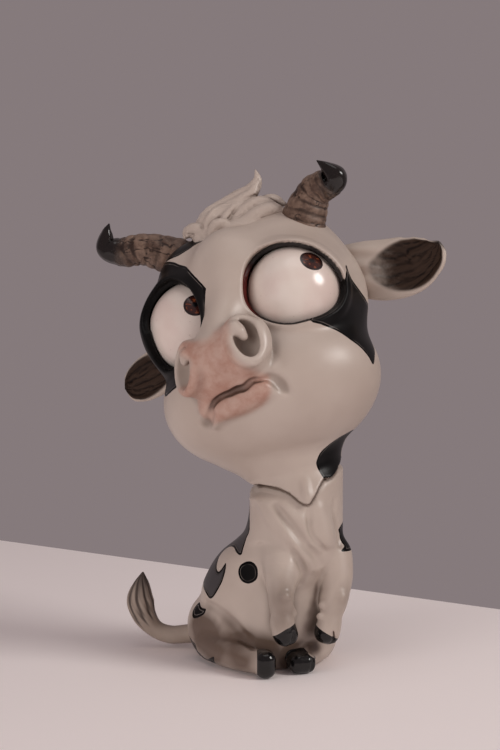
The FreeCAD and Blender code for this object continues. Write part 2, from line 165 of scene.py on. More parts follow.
class Tube:
    """Round tube of changing radius along a curve, worked out only near it."""

    def __init__(self, pts, radii, n=None, margin=6.0, flat=None):
        p = np.column_stack([np.asarray(pts, float), np.asarray(radii, float)])
        s = smooth_path(p, n or max(6, 4 * len(p)))
        self.p, self.r = s[:, :3].astype(F4), np.maximum(s[:, 3], 0.05).astype(F4)
        self.c = (self.p.min(0) + self.p.max(0)) / 2
        self.R = float(np.max(np.linalg.norm(self.p - self.c, axis=1) + self.r))
        self.margin = margin

    def __call__(self, q):
        out = length(q - self.c) - self.R
        near = out < self.margin
        if near.any():
            out[near] = self.exact(q[near])
        return out

    def exact(self, q):
        best = None
        for a, b, ra, rb in zip(self.p[:-1], self.p[1:], self.r[:-1], self.r[1:]):
            ab = b - a
            t = np.clip(((q - a) @ ab) / max(float(ab @ ab), 1e-9), 0, 1)
            d = length(q - a - t[:, None] * ab) - (ra + (rb - ra) * t)
            best = d if best is None else np.minimum(best, d)
        return best


def run(f, p, chunk=60000):
    p = np.ascontiguousarray(p, F4)
    if len(p) <= chunk:
        return f(p)
    return np.concatenate([f(p[i:i + chunk]) for i in range(0, len(p), chunk)])


def gradient(f, p, e=0.06):
    g = np.empty((len(p), 3), F4)
    for k in range(3):
        d = np.zeros(3, F4)
        d[k] = e
        g[:, k] = (run(f, p + d) - run(f, p - d)) / (2 * e)
    return g


def field_mesh(f, lo, hi, h, slack=1.35, extra=1.0, block=8, polish=2):
    """Surface nets over the blocks that the surface passes through, then pulled onto it."""
    lo, hi = np.asarray(lo, float), np.asarray(hi, float)
    nb = np.maximum(1, np.ceil((hi - lo) / (h * block)).astype(int))
    n = nb * block + 1
    ax = [lo[a] + (np.arange(nb[a]) + 0.5) * h * block for a in range(3)]
    cc = np.stack(np.meshgrid(*ax, indexing="ij"), -1).reshape(-1, 3).astype(F4)
    fc = run(f, cc)
    val = np.empty(tuple(n), F4)
    sign = np.where(fc < 0, -9.0, 9.0).astype(F4).reshape(tuple(nb))
    big = sign.repeat(block, 0).repeat(block, 1).repeat(block, 2)
    val[:-1, :-1, :-1] = big
    val[-1, :, :], val[:, -1, :], val[:, :, -1] = 9.0, 9.0, 9.0
    act = np.flatnonzero(np.abs(fc) < h * block * 0.5 * math.sqrt(3) * slack + extra)
    bi = np.stack(np.unravel_index(act, tuple(nb)), 1) * block
    off = np.stack(np.meshgrid(*[np.arange(block + 1)] * 3, indexing="ij"), -1).reshape(-1, 3)
    for i in range(0, len(bi), 160):
        ix = (bi[i:i + 160, None, :] + off[None]).reshape(-1, 3)
        v = f((ix * h + lo).astype(F4))
        val[ix[:, 0], ix[:, 1], ix[:, 2]] = v
    inside = val < 0
    cnt = np.zeros(tuple(n - 1), np.uint8)
    corners = [(i, j, k) for i in (0, 1) for j in (0, 1) for k in (0, 1)]
    sl = [slice(0, -1), slice(1, None)]
    for i, j, k in corners:
        cnt += inside[sl[i], sl[j], sl[k]]
    cells = np.argwhere((cnt > 0) & (cnt < 8))
    index = np.full(tuple(n - 1), -1, np.int32)
    index[cells[:, 0], cells[:, 1], cells[:, 2]] = np.arange(len(cells), dtype=np.int32)
    pos = np.zeros((len(cells), 3))
    num = np.zeros(len(cells))
    cv = {c: val[cells[:, 0] + c[0], cells[:, 1] + c[1], cells[:, 2] + c[2]] for c in corners}
    for a in corners:
        for k in range(3):
            if a[k]:
                continue
            b = tuple(a[m] + (m == k) for m in range(3))
            va, vb = cv[a], cv[b]
            cross = (va < 0) != (vb < 0)
            t = np.where(cross, va / np.where(cross, va - vb, 1), 0)
            e = np.array(a, float)[None] + np.eye(3)[k][None] * t[:, None]
            pos += np.where(cross[:, None], e, 0)
            num += cross
    pos = (pos / num[:, None] + cells) * h + lo
    quads = []
    for k in range(3):
        i, j = (k + 1) % 3, (k + 2) % 3
        s0, s1 = [slice(None)] * 3, [slice(None)] * 3
        s0[k], s1[k] = slice(0, -1), slice(1, None)
        edge = inside[tuple(s0)] != inside[tuple(s1)]
        e = np.argwhere(edge)
        e = e[(e[:, i] > 0) & (e[:, j] > 0) & (e[:, i] < n[i] - 1) & (e[:, j] < n[j] - 1)]
        if not len(e):
            continue
        di, dj = np.zeros(3, int), np.zeros(3, int)
        di[i], dj[j] = 1, 1

        def at(c):
            return index[c[:, 0], c[:, 1], c[:, 2]]
        q = np.stack([at(e - di - dj), at(e - dj), at(e), at(e - di)], 1)
        flip = ~inside[e[:, 0], e[:, 1], e[:, 2]]
        q[flip] = q[flip][:, ::-1]
        quads.append(q)
    quads = np.concatenate(quads)
    quads = quads[(quads >= 0).all(1)]
    pos = pos.astype(F4)
    for _ in range(polish):
        v = run(f, pos)
        g = gradient(f, pos)
        gg = np.maximum((g * g).sum(1), 0.2)
        mv = -(v / gg)[:, None] * g
        ln = length(mv)
        mv *= np.minimum(1, 0.6 * h / np.maximum(ln, 1e-6))[:, None]
        pos = pos + mv
    return pos, quads


def largest(pos, quads, least=400):
    """Drops loose crumbs: keeps pieces of the surface with at least `least` vertices."""
    lab = np.arange(len(pos))
    e = np.concatenate([quads[:, [0, 1]], quads[:, [1, 2]], quads[:, [2, 3]], quads[:, [3, 0]]])
    while True:
        new = lab.copy()
        m = np.minimum(lab[e[:, 0]], lab[e[:, 1]])
        np.minimum.at(new, e[:, 0], m)
        np.minimum.at(new, e[:, 1], m)
        new = new[new]
        if (new == lab).all():
            break
        lab = new
    ids, inv, cnt = np.unique(lab, return_inverse=True, return_counts=True)
    keep = (cnt >= least)[inv]
    if keep.all():
        return pos, quads
    re = np.cumsum(keep) - 1
    return pos[keep], re[quads[keep[quads[:, 0]]]]


# ------------------------------------------------------------------------ noise
def lattice(ix, iy, iz, seed):
    h = (ix * 374761393 + iy * 668265263 + iz * 2147483647 + seed * 974634777) & 0xFFFFFFFF
    h = ((h ^ (h >> 13)) * 1274126177) & 0xFFFFFFFF
    h = h ^ (h >> 16)
    return (h & 0xFFFF).astype(F4) / 65535.0


def noise(p, scale, seed=1):
    q = np.asarray(p, np.float64) / scale
    i = np.floor(q).astype(np.int64)
    f = (q - i).astype(F4)
    f = f * f * (3 - 2 * f)
    out = np.zeros(len(q), F4)
    for a in (0, 1):
        wa = f[:, 0] if a else 1 - f[:, 0]
        for b in (0, 1):
            wb = wa * (f[:, 1] if b else 1 - f[:, 1])
            for c in (0, 1):
                out += wb * (f[:, 2] if c else 1 - f[:, 2]) * lattice(
                    i[:, 0] + a, i[:, 1] + b, i[:, 2] + c, seed)
    return out * 2 - 1


def fbm(p, scale, seed=1, octaves=3):
    return sum(noise(p, scale / 2 ** o, seed + 7 * o) * 0.5 ** o for o in range(octaves))


# ------------------------------------------------------------ placing features
def hit(f, px, py, local=True, start=430.0):
    """Where the line of sight through a picture point meets the surface of a field."""
    px, py = np.atleast_1d(px).astype(float), np.atleast_1d(py).astype(float)
    d = np.array([sight(a, b) for a, b in zip(px, py)])
    o = EYE_POINT[None].repeat(len(d), 0)
    if local:
        o, d = (o - HEAD_C) @ HEAD_M, d @ HEAD_M
    t = np.full(len(d), start)
    best, at = np.full(len(d), 1e9), t.copy()
    for _ in range(90):
        v = f((o + d * t[:, None]).astype(F4))
        closer = np.abs(v) < best
        best, at = np.where(closer, np.abs(v), best), np.where(closer, t, at)
        t = t + np.clip(v, -4, 8) * 0.8
    bad = np.abs(f((o + d * t[:, None]).astype(F4))) > 0.6
    t = np.where(bad, at, t)
    return o + d * t[:, None]


def on_skin(f, pts, lift, local=True):
    """Path on the skin through picture points, raised (or sunk) by lift along the normal."""
    pts = np.asarray(pts, float)
    p = hit(f, pts[:, 0], pts[:, 1], local)
    g = gradient(f, p.astype(F4))
    g = g / length(g)[:, None]
    return p + g * np.broadcast_to(np.asarray(lift, float), (len(p),))[:, None]


def closed_curve(pts, n):
    p = np.asarray(pts, float)
    m = len(p)
    out = []
    for s in np.linspace(0, m, n, endpoint=False):
        i = int(s)
        t = s - i
        a, b, c, d = p[(i - 1) % m], p[i % m], p[(i + 1) % m], p[(i + 2) % m]
        out.append(0.5 * (2 * b + (c - a) * t + (2 * a - 5 * b + 4 * c - d) * t * t
                          + (3 * b - a - 3 * c + d) * t ** 3))
    return np.array(out)


def polygon_distance(q, poly):
    """Signed distance in the plane, positive inside."""
    q = q.astype(F4)
    poly = poly.astype(F4)
    best = np.full(len(q), 1e9, F4)
    inside = np.zeros(len(q), bool)
    for a, b in zip(poly, np.roll(poly, -1, 0)):
        ab = b - a
        t = np.clip(((q - a) @ ab) / max(float(ab @ ab), 1e-9), 0, 1)
        d = q - a - t[:, None] * ab
        best = np.minimum(best, (d * d).sum(1))
        c = (a[1] > q[:, 1]) != (b[1] > q[:, 1])
        with np.errstate(divide="ignore", invalid="ignore"):
            xs = (b[0] - a[0]) * (q[:, 1] - a[1]) / (b[1] - a[1] if b[1] != a[1] else 1e-9) + a[0]
        inside ^= c & (q[:, 0] < xs)
    d = np.sqrt(best)
    return np.where(inside, d, -d)


class Patch:
    """A painted patch: an outline on the skin, seen from a centre inside the piece."""

    def __init__(self, outline, centre, corners=False, n=None):
        self.c = np.asarray(centre, float)
        d = np.asarray(outline, float) - self.c
        self.size = float(np.linalg.norm(d, axis=1).mean())
        u = d / np.linalg.norm(d, axis=1)[:, None]
        m = u.mean(0)
        self.m = m / np.linalg.norm(m)
        ref = np.array([0, 0, 1.0]) if abs(self.m[2]) < 0.85 else np.array([0, 1.0, 0])
        self.e1 = np.cross(ref, self.m)
        self.e1 /= np.linalg.norm(self.e1)
        self.e2 = np.cross(self.m, self.e1)
        flat = self.flatten(np.asarray(outline, float))
        self.poly = flat if corners else closed_curve(flat, n or 5 * len(flat))
        self.reach = float(np.linalg.norm(self.poly, axis=1).max())

    def flatten(self, p):
        d = p - self.c
        d = d / np.linalg.norm(d, axis=1)[:, None]
        z = np.clip(d @ self.m, -1, 1)
        a = np.arccos(z)
        x, y = d @ self.e1, d @ self.e2
        r = np.maximum(np.hypot(x, y), 1e-9)
        return np.stack([x / r * a, y / r * a], 1) * self.size

    def __call__(self, p):
        q = self.flatten(p.astype(float))
        out = -(np.linalg.norm(q, axis=1) - self.reach)
        out = np.minimum(out, -0.5)
        near = np.linalg.norm(q, axis=1) < self.reach + 3
        if near.any():
            out[near] = polygon_distance(q[near], self.poly)
        return out


# ------------------------------------------------------------- scene's helpers
def new_object(name, verts_mm, faces, attrs=None, smooth=True):
    me = bpy.data.meshes.new(name)
    v = np.asarray(verts_mm, float) / 1000.0
    if isinstance(faces, np.ndarray):
        n, k = faces.shape
        me.vertices.add(len(v))
        me.vertices.foreach_set("co", v.astype(F4).ravel())
        me.loops.add(n * k)
        me.loops.foreach_set("vertex_index", faces.astype(np.int32).ravel())
        me.polygons.add(n)
        me.polygons.foreach_set("loop_start", np.arange(0, n * k, k, dtype=np.int32))
        me.update(calc_edges=True)
        me.validate()
    else:
        me.from_pydata([tuple(x) for x in v], [], [tuple(f) for f in faces])
    if smooth:
        me.polygons.foreach_set("use_smooth", np.ones(len(me.polygons), bool))
    for key, val in (attrs or {}).items():
        at = me.attributes.new(key, "FLOAT", "POINT")
        at.data.foreach_set("value", np.asarray(val, F4))
    me.update()
    o = bpy.data.objects.new(name, me)
    bpy.context.scene.collection.objects.link(o)
    return o


def sweep_grid(pts, n_len, n_round, up=(0, 0, 1)):
    """Stations along a smooth curve with turning-free frames; pts has extra columns."""
    s = smooth_path(pts, n_len)
    c = s[:, :3]
    t = np.gradient(c, axis=0)
    t /= np.linalg.norm(t, axis=1)[:, None]
    u = np.empty_like(c)
    ref = np.asarray(up, float)
    x = ref - t[0] * (ref @ t[0])
    x /= np.linalg.norm(x)
    for i in range(len(c)):
        x = x - t[i] * (x @ t[i])
        x /= np.linalg.norm(x)
        u[i] = x
    w = np.cross(t, u)
    return c, t, u, w, s[:, 3:]


def grid_faces(n_len, n_round, cap_start=True, cap_end=True):
    f = []
    for i in range(n_len - 1):
        for j in range(n_round):
            k = (j + 1) % n_round
            f.append((i * n_round + j, i * n_round + k, (i + 1) * n_round + k, (i + 1) * n_round + j))
    base = n_len * n_round
    if cap_start:
        for j in range(n_round):
            f.append((base, (j + 1) % n_round, j))
        base += 1
    if cap_end:
        o = (n_len - 1) * n_round
        for j in range(n_round):
            f.append((base, o + j, o + (j + 1) % n_round))
    return f


# --------------------------------------------------------------------- materials
def material(name):
    m = bpy.data.materials.new(name)
    m.use_nodes = True
    nt = m.node_tree
    bsdf = nt.nodes["Principled BSDF"]
    return m, nt, bsdf


class Nodes:
    """Small helper to write shader graphs."""

    def __init__(self, nt):
        self.nt = nt

    def attr(self, name):
        n = self.nt.nodes.new("ShaderNodeAttribute")
        n.attribute_name = name
        return n.outputs["Fac"]

    def coords(self):
        return self.nt.nodes.new("ShaderNodeTexCoord").outputs["Object"]

    def noise(self, scale, detail=3.0, rough=0.55, vec=None, distortion=0.0):
        n = self.nt.nodes.new("ShaderNodeTexNoise")
        n.inputs["Scale"].default_value = scale
        n.inputs["Detail"].default_value = detail
        n.inputs["Roughness"].default_value = rough
        n.inputs["Distortion"].default_value = distortion
        self.nt.links.new(vec or self.coords(), n.inputs["Vector"])
        return n.outputs["Fac"]

    def math(self, op, a, b=0.0, c=None, clamp=False):
        n = self.nt.nodes.new("ShaderNodeMath")
        n.operation = op
        n.use_clamp = clamp
        for i, v in enumerate((a, b) if c is None else (a, b, c)):
            if isinstance(v, (int, float)):
                n.inputs[i].default_value = v
            else:
                self.nt.links.new(v, n.inputs[i])
        return n.outputs[0]

    def ramp(self, v, lo, hi, a=0.0, b=1.0, smooth=True):
        n = self.nt.nodes.new("ShaderNodeMapRange")
        n.interpolation_type = "SMOOTHSTEP" if smooth else "LINEAR"
        n.inputs["From Min"].default_value = lo
        n.inputs["From Max"].default_value = hi
        n.inputs["To Min"].default_value = a
        n.inputs["To Max"].default_value = b
        self.nt.links.new(v, n.inputs["Value"])
        return n.outputs["Result"]

    def mix(self, fac, a, b, mode="MIX"):
        n = self.nt.nodes.new("ShaderNodeMix")
        n.data_type = "RGBA"
        n.blend_type = mode
        n.clamp_factor = True
        self.nt.links.new(fac, n.inputs[0]) if not isinstance(fac, (int, float)) else \
            setattr(n.inputs[0], "default_value", fac)
        for i, v in ((6, a), (7, b)):
            if isinstance(v, (tuple, list)):
                n.inputs[i].default_value = (*v[:3], 1.0)
            else:
                self.nt.links.new(v, n.inputs[i])
        return n.outputs[2]

    def bump(self, height, strength, distance):
        n = self.nt.nodes.new("ShaderNodeBump")
        n.inputs["Strength"].default_value = strength
        n.inputs["Distance"].default_value = distance
        self.nt.links.new(height, n.inputs["Height"])
        return n.outputs["Normal"]

    def link(self, a, b):
        self.nt.links.new(a, b)


WHITE = (0.565, 0.475, 0.415)
WHITE_SHADE = (0.095, 0.058, 0.040)
PINK = (0.44, 0.235, 0.175)
PINK_DEEP = (0.30, 0.12, 0.085)
CHARCOAL = (0.0036, 0.0033, 0.0035)
INK = (0.0022, 0.0018, 0.0018)


def resin_material(name, pink=False, socket=False, hooves=False):
    m, nt, bsdf = material(name)
    g = Nodes(nt)
    big = g.noise(38.0, 3.0, 0.5)
    fine = g.noise(420.0, 3.0, 0.6)
    base = g.mix(g.ramp(big, 0.3, 0.75), (0.49, 0.41, 0.355), (0.43, 0.35, 0.30))
    # brown wash with painted shade: darker where the skin sits deep in creases and hollows, varied by noise
    wash_and_shade = g.attr("wash_and_shade")
    wash_and_shade = g.math("ADD", wash_and_shade, g.math("MULTIPLY", g.math("SUBTRACT", big, 0.5), 0.25))
    base = g.mix(g.ramp(wash_and_shade, 0.10, 1.0, 0.0, 0.92, smooth=False), base, WHITE_SHADE)
    base = g.mix(g.ramp(fine, 0.68, 0.80, 0.0, 0.10), base, (0.42, 0.33, 0.27))
    rough = g.ramp(big, 0.3, 0.8, 0.34, 0.44)
    if pink:
        blotch = g.noise(150.0, 4.0, 0.65)
        p = g.attr("pink")
        pk = g.mix(g.ramp(blotch, 0.36, 0.70), (0.47, 0.30, 0.24), (0.37, 0.20, 0.15))
        # the pink takes the same painted shade and brown wash
        pk = g.mix(g.ramp(wash_and_shade, 0.2, 0.95, 0.0, 0.92), pk, (0.050, 0.021, 0.013))
        base = g.mix(g.math("MULTIPLY", p, g.ramp(blotch, 0.2, 0.7, 0.75, 1.0)), base, pk)
    if socket:
        # black of the socket: black paint on the lid's inner edge and painted shade in the cavity round the eyeball;
        # dark red paint on the inner wall
        s = g.attr("socket")
        red = g.attr("red")
        base = g.mix(s, base, g.mix(red, (0.006, 0.004, 0.004), (0.26, 0.040, 0.030)))
    sd = g.attr("paint")
    wobble = g.math("MULTIPLY", g.math("SUBTRACT", g.noise(520.0, 2.0, 0.5), 0.5), 0.16)
    sdw = g.math("ADD", sd, wobble)
    fill = g.ramp(sdw, -0.04, 0.05)
    ink = g.math("MULTIPLY", g.ramp(sdw, -0.04, 0.05), g.ramp(sdw, 0.75, 0.62))
    thin = g.math("MULTIPLY", g.ramp(sdw, 0.70, 0.78), g.ramp(sdw, 0.92, 0.84))
    thin = g.math("MULTIPLY", thin, g.ramp(g.noise(90.0, 2.0), 0.42, 0.56))
    dark = g.mix(g.ramp(big, 0.3, 0.75), CHARCOAL, (0.008, 0.0075, 0.0075))
    dark = g.mix(g.attr("worn"), dark, (0.060, 0.054, 0.056))
    col = g.mix(fill, base, dark)
    col = g.mix(ink, col, INK)
    col = g.mix(g.math("MULTIPLY", thin, 0.45), col, (0.35, 0.30, 0.27))
    rough = g.math("ADD", rough, g.math("MULTIPLY", ink, -0.16))
    rough = g.math("ADD", rough, g.math("MULTIPLY", fill, -0.03))
    if hooves:
        hf = g.attr("hoof")
        k = g.ramp(hf, -0.06, 0.08)
        col = g.mix(k, col, (0.0045, 0.004, 0.004))
        rough = g.math("ADD", g.math("MULTIPLY", rough, g.ramp(hf, -0.06, 0.08, 1.0, 0.0)),
                       g.math("MULTIPLY", k, 0.16))
    g.link(col, bsdf.inputs["Base Color"])
    g.link(rough, bsdf.inputs["Roughness"])
    g.link(g.ramp(sdw, -0.04, 0.05, 0.5, 0.12), bsdf.inputs["Specular IOR Level"])
    g.link(g.bump(g.math("ADD", fine, g.math("MULTIPLY", big, 2.0)), 0.12, 0.00012),
           bsdf.inputs["Normal"])
    return m


# =============================================================== THE HEAD (local)
EYES = {1: A(17.3, -9.0, 6.0), -1: A(-17.3, -9.0, 6.0)}
EYE_R = 14.85
RIM_R = 16.9
rim_px = {
    1: [(242.7, 287.4), (248, 264.4), (265.6, 248), (288.6, 242.6), (303.9, 244.5), (323, 253.7),
        (334.5, 263.7), (343.6, 279), (345.2, 291.2), (341.3, 303.4), (330.6, 312.6),
        (315.3, 318.8), (303.9, 321.8), (284.7, 325.3), (269.4, 322.6), (254.1, 314.9),
        (244.2, 305)],
    -1: [(171.7, 280.6), (160.2, 284), (151.8, 291.7), (146.8, 299.4), (144.0, 308.6),
         (144.2, 320), (147.0, 333), (151, 346), (157.2, 358.3), (163.3, 367.5), (169.4, 371.3),
         (176.3, 369.5), (185, 365.5), (193.5, 356), (201.6, 340), (203.9, 330), (204.5, 320),
         (203.1, 310.9), (200, 300.9), (195.4, 292.5), (188.6, 285.6), (180.9, 281.8)],
}


class Opening:
    """The opening of an eye socket: a cone from the eyeball's centre through the lid's rim."""

    def __init__(self, side):
        e = EYES[side].astype(float)
        pts = []
        for px, py in rim_px[side]:
            o, d = (EYE_POINT - HEAD_C) @ HEAD_M, sight(px, py) @ HEAD_M
            oc = o - e
            b = float(oc @ d)
            disc = b * b - float(oc @ oc) + RIM_R ** 2
            t = -b - math.sqrt(max(disc, 0.0))
            pts.append(oc + d * t)
        pts = np.array(pts)
        u = pts / np.linalg.norm(pts, axis=1)[:, None]
        n = u.mean(0)
        n /= np.linalg.norm(n)
        e1 = np.cross([0, 0, 1.0], n)
        e1 /= np.linalg.norm(e1)
        e2 = np.cross(n, e1)
        ang = np.arctan2(u @ e2, u @ e1)
        phi = np.arccos(np.clip(u @ n, -1, 1))
        order = np.argsort(ang)
        ang, phi = ang[order], phi[order]
        grid = np.linspace(-math.pi, math.pi, 181)
        ext_a = np.concatenate([ang - 2 * math.pi, ang, ang + 2 * math.pi])
        ext_p = np.concatenate([phi, phi, phi])
        table = np.interp(grid, ext_a, ext_p)
        k = np.exp(-0.5 * (np.arange(-9, 10) / 3.2) ** 2)
        k /= k.sum()
        t = np.concatenate([table[-10:-1], table, table[1:10]])
        self.table = np.convolve(t, k, "valid").astype(F4)
        self.grid = grid.astype(F4)
        self.e, self.n, self.e1, self.e2 = (x.astype(F4) for x in (EYES[side], n, e1, e2))

    def __call__(self, p):
        """r = distance from the eye's centre, d = distance outside the cone (mm)."""
        d = p - self.e
        r = length(d)
        x, y, z = d @ self.e1, d @ self.e2, d @ self.n
        phi = np.arctan2(np.hypot(x, y), z)
        lim = np.interp(np.arctan2(y, x), self.grid, self.table).astype(F4)
        cone = (phi - lim) * np.clip(r, 8, 20)
        straight = np.hypot(x, y) - RIM_R * np.sin(np.minimum(lim, math.pi / 2))
        return r, np.maximum(cone, np.where(z > 0, straight, cone))


OPEN = {s: Opening(s) for s in (1, -1)}

# seam of the neck: elevation above the pivot's level, by azimuth from the camera's side
seam_px = [(256.3, 485), (262.2, 484.1), (270.5, 485.9), (278.7, 488), (284.6, 490.4),
           (289.4, 493), (294.1, 496.8), (298.8, 501), (303.5, 503.9), (307.1, 504.6),
           (309.7, 503.6), (312.4, 499.5), (315.4, 494.8), (317.7, 489.5), (320.7, 483.5),
           (324.2, 477.5), (328, 478), (332.5, 476)]
_az, _el = [], []
for px, py in seam_px:
    d = sight(px, py)
    oc = EYE_POINT - PIVOT
    b = float(oc @ d)
    t = -b - math.sqrt(max(b * b - float(oc @ oc) + 18.4 ** 2, 0.0))
    q = oc + d * t
    _az.append(math.degrees(math.atan2(q @ RIGHT, q @ FRONT)))
    _el.append(math.degrees(math.atan2(q[2], math.hypot(q @ RIGHT, q @ FRONT))))
SEAM_AZ = np.array([-180, -150, -115] + _az + [55, 75, 110, 140, 180.0])
SEAM_EL = np.array([50, 42, 33] + _el + [50, 56, 60, 58, 50.0])
_fine = np.linspace(-180, 180, 721)
_steep = np.abs(np.gradient(np.interp(_fine, SEAM_AZ, SEAM_EL), _fine))
_steep = np.convolve(np.pad(_steep, 4, "wrap"), np.ones(9) / 9, "valid")


def neck_polar(w):
    """Distance from the neck's pivot, and height above the seam (mm) at that distance."""
    d = w - PIVOT.astype(F4)
    r = length(d)
    x, y = d @ RIGHT.astype(F4), d @ FRONT.astype(F4)
    az = np.degrees(np.arctan2(x, y))
    el = np.degrees(np.arctan2(d[:, 2], np.hypot(x, y)))
    lim = np.interp(az, SEAM_AZ, SEAM_EL)
    slant = np.interp(az, _fine, _steep) / np.cos(np.radians(np.clip(el, -60, 60)))
    far = (el - lim) * math.pi / 180 * np.clip(r, 6, 24)
    return r, (far / np.where(np.abs(far) < 6, np.hypot(1, slant), 1)).astype(F4)


throat = Tube(np.array([to_local(A(*p)[None])[0] for p in
                        [(4.6, -9.6, 67), (5.3, -10.8, 58), (5.6, -11.6, 46)]]),
              [15.0, 13.7, 13.2], n=10, margin=12)
VIEW = np.stack([RIGHT, FRONT, UP], 1)
jowl_c = RIGHT * 4.0 + FRONT * 3.0 + UP * 68.2


def head_skin(p):
    """The head without sockets, nostrils and mouth."""
    f = ell(p, (0, 3, 7), (35, 28, 29.5))
    f = sm(f, ell(p, (-0.8, -1, -18.5), (35.2, 29.3, 23.8)), 7)
    f = sm(f, ell(p, (14.0, 1.0, 20.0), (15.2, 15.0, 15.0)), 5)
    f = sm(f, ell(p, (-15.5, -2.0, 20.0), (13.6, 14.5, 14.6)), 5)
    for s in (1, -1):
        f = sm(f, sph(p, EYES[s], RIM_R + 0.15), 4.5)
    f = sm(f, ell(p, (1.0, -17.0, 17.0), (10, 9, 13)), 7)
    w = to_world(p)
    f = sm(f, ell(w, jowl_c, (18.5, 17.5, 11.7), VIEW), 4)
    f = sm(f, throat(p), 5)
    return f


snout_rot = turn((1, 0, 0), -10)
bridge = Tube([(2.5, -19, 14), (0.8, -24.5, 4), (-1.2, -29.3, -4), (-1.6, -30.5, -10)],
              [7.5, 6.2, 6.0, 7.5], n=14, margin=10)


def head_face(p):
    f = head_skin(p)
    f = sm(f, bridge(p), 4.5)
    f = sm(f, ell(p, (-1.4, -29.2, -12.0), (11.8, 9.4, 8.4), snout_rot), 4.5)
    return f


# mouth: the line between the lips, the lips themselves and the hollows at the corners
mouth_px = [(208.3, 423.5), (209.0, 415), (211.5, 406.5), (216, 400.5), (223, 396), (230, 393.2),
            (237.5, 389.6), (244, 388.0), (249, 383.4), (254, 380.4), (261, 379.6), (267, 378.2),
            (273, 379.4), (278, 383), (282, 388.5)]
LOWER_LIP = Tube([(-10.6, -26.3, -28.2), (-7.4, -27.9, -26.6), (-2.5, -29.0, -26.0),
                  (2.2, -29.1, -25.5), (6.6, -28.4, -24.1), (10.0, -26.6, -23.8)],
                 [2.0, 2.9, 3.4, 3.5, 3.5, 2.2], n=26, margin=6)
UPPER_LIP = Tube([(-11.4, -27.6, -24.4), (-7.6, -29.4, -20.8), (-2.6, -31.4, -19.2),
                  (3.0, -31.2, -18.8), (7.2, -29.4, -17.8), (10.6, -27.2, -18.6)],
                 [2.2, 3.3, 3.8, 3.6, 3.3, 2.4], n=26, margin=6)
corner_px = [[(270, 377.5), (276.5, 381), (281.5, 386), (287, 391.5)],
             [(211.5, 414), (209, 420), (206, 424.5), (200.5, 424)]]


def frame_of(n, up=(0, 0, 1)):
    """Columns: across, outward, up, for a ring that faces n."""
    n = np.asarray(n, float)
    n = n / np.linalg.norm(n)
    x = np.cross(n, up)
    x /= np.linalg.norm(x)
    return np.stack([x, n, np.cross(x, n)], 1)


class Nostril:
    """A rolled rim around a hollow, with the curled lobe on the inner side."""

    def __init__(self, side, centre, facing, half, lobe, lobe_r):
        self.side = side
        self.c = np.asarray(centre, float)
        self.m = frame_of(facing)
        self.half = half
        a, b = half
        th = np.linspace(0, 2 * math.pi, 25)[:-1]
        x = a * np.cos(th) * (-side)          # 0 = inner side, by the bridge
        z = b * np.sin(th)
        pts = self.c + np.outer(x, self.m[:, 0]) * (1 if self.m[0, 0] * 1 > 0 else -1) + \
            np.outer(z, self.m[:, 2])
        pts = np.vstack([pts, pts[:1]])
        wide = 1.55 + 0.45 * np.cos(th)
        self.rim = Tube(pts, np.append(wide, wide[0]), n=60, margin=5)
        back = self.c - self.m[:, 1] * 3.4
        self.bulb = (back, (a + 1.5, 5.6, b + 1.3))
        self.hole = (self.c + self.m[:, 1] * (0.0 if side > 0 else 0.9),
                     (a - 0.95, 5.0 if side > 0 else 4.2, b - 1.0))
        self.lobe = [(np.asarray(q, float), r) for q, r in zip(lobe, lobe_r)]

    def add(self, f, q):
        f = sm(f, ell(q, self.bulb[0], self.bulb[1], self.m), 2.6)
        return sm(f, self.rim(q), 2.1)

    def carve(self, f, q):
        f = sx(f, -ell(q, self.hole[0], self.hole[1], self.m), 1.1 if self.side > 0 else 2.0)
        for c, r in self.lobe:
            f = sm(f, sph(q, c, r), 0.9)
        return f


NOSTRILS = [Nostril(1, (9.2, -35.6, -10.2), (0.535, -0.80, 0.27), (4.8, 7.4),
                    [(7.3, -37.3, -6.2), (8.6, -37.3, -7.6), (9.2, -36.6, -9.2)], [2.4, 1.9, 1.3]),
            Nostril(-1, (-11.8, -34.7, -12.4), (-0.46, -0.86, 0.2), (4.6, 7.2),
                    [(-10.2, -36.9, -9.0), (-10.9, -36.6, -10.6)], [2.0, 1.4])]


def face_lips(q):
    """The face with its lips and nostrils raised, before anything is cut in."""
    f = sm(head_face(q), UPPER_LIP(q), 3.0)
    f = sm(f, ell(q, (13.0, -32.2, -10.0), (2.6, 3.4, 5.4)), 2.6)
    for nos in NOSTRILS:
        f = nos.add(f, q)
    return sm(f, LOWER_LIP(q), 2.6)


def settle(f, pts, lift):
    """Moves points onto the surface of a field, then out (or in) by lift."""
    p = np.asarray(pts, F4)
    for _ in range(14):
        g = gradient(f, p)
        p = p - ((f(p) - F4(lift)) / np.maximum((g * g).sum(1), 0.3))[:, None] * g * F4(0.8)
    return p


MOUTH = Tube(settle(face_lips, hit(face_lips, *zip(*mouth_px)), -0.1),
             [0.8, 0.9, 0.8, 0.75, 0.8, 0.9, 1.0, 1.0, 0.95, 0.7, 0.5, 0.45, 0.6, 0.9, 0.7],
             n=56, margin=4)
CORNERS = [Tube(settle(face_lips, hit(face_lips, *zip(*c)), 0.25), r, n=14, margin=5)
           for c, r in zip(corner_px, ([0.8, 1.5, 1.6, 0.6], [0.7, 1.15, 1.1, 0.3]))]


def about_pivot(points, r):
    """Points of the head's frame, seen at picture points, at a distance r from the neck's pivot."""
    out = []
    for px, py in points:
        d = sight(px, py)
        oc = EYE_POINT - PIVOT
        b = float(oc @ d)
        q = oc + d * (-b - math.sqrt(max(b * b - float(oc @ oc) + 18.5 ** 2, 0.0)))
        out.append(PIVOT + q * r / np.linalg.norm(q))
    return (np.array(out) - HEAD_C) @ HEAD_M


CHIN_RIDGE = Tube(about_pivot([(302, 470), (304.6, 481), (306.4, 492), (307.2, 501)], 17.6),
                  [0.7, 1.5, 1.7, 1.4], n=16, margin=4)


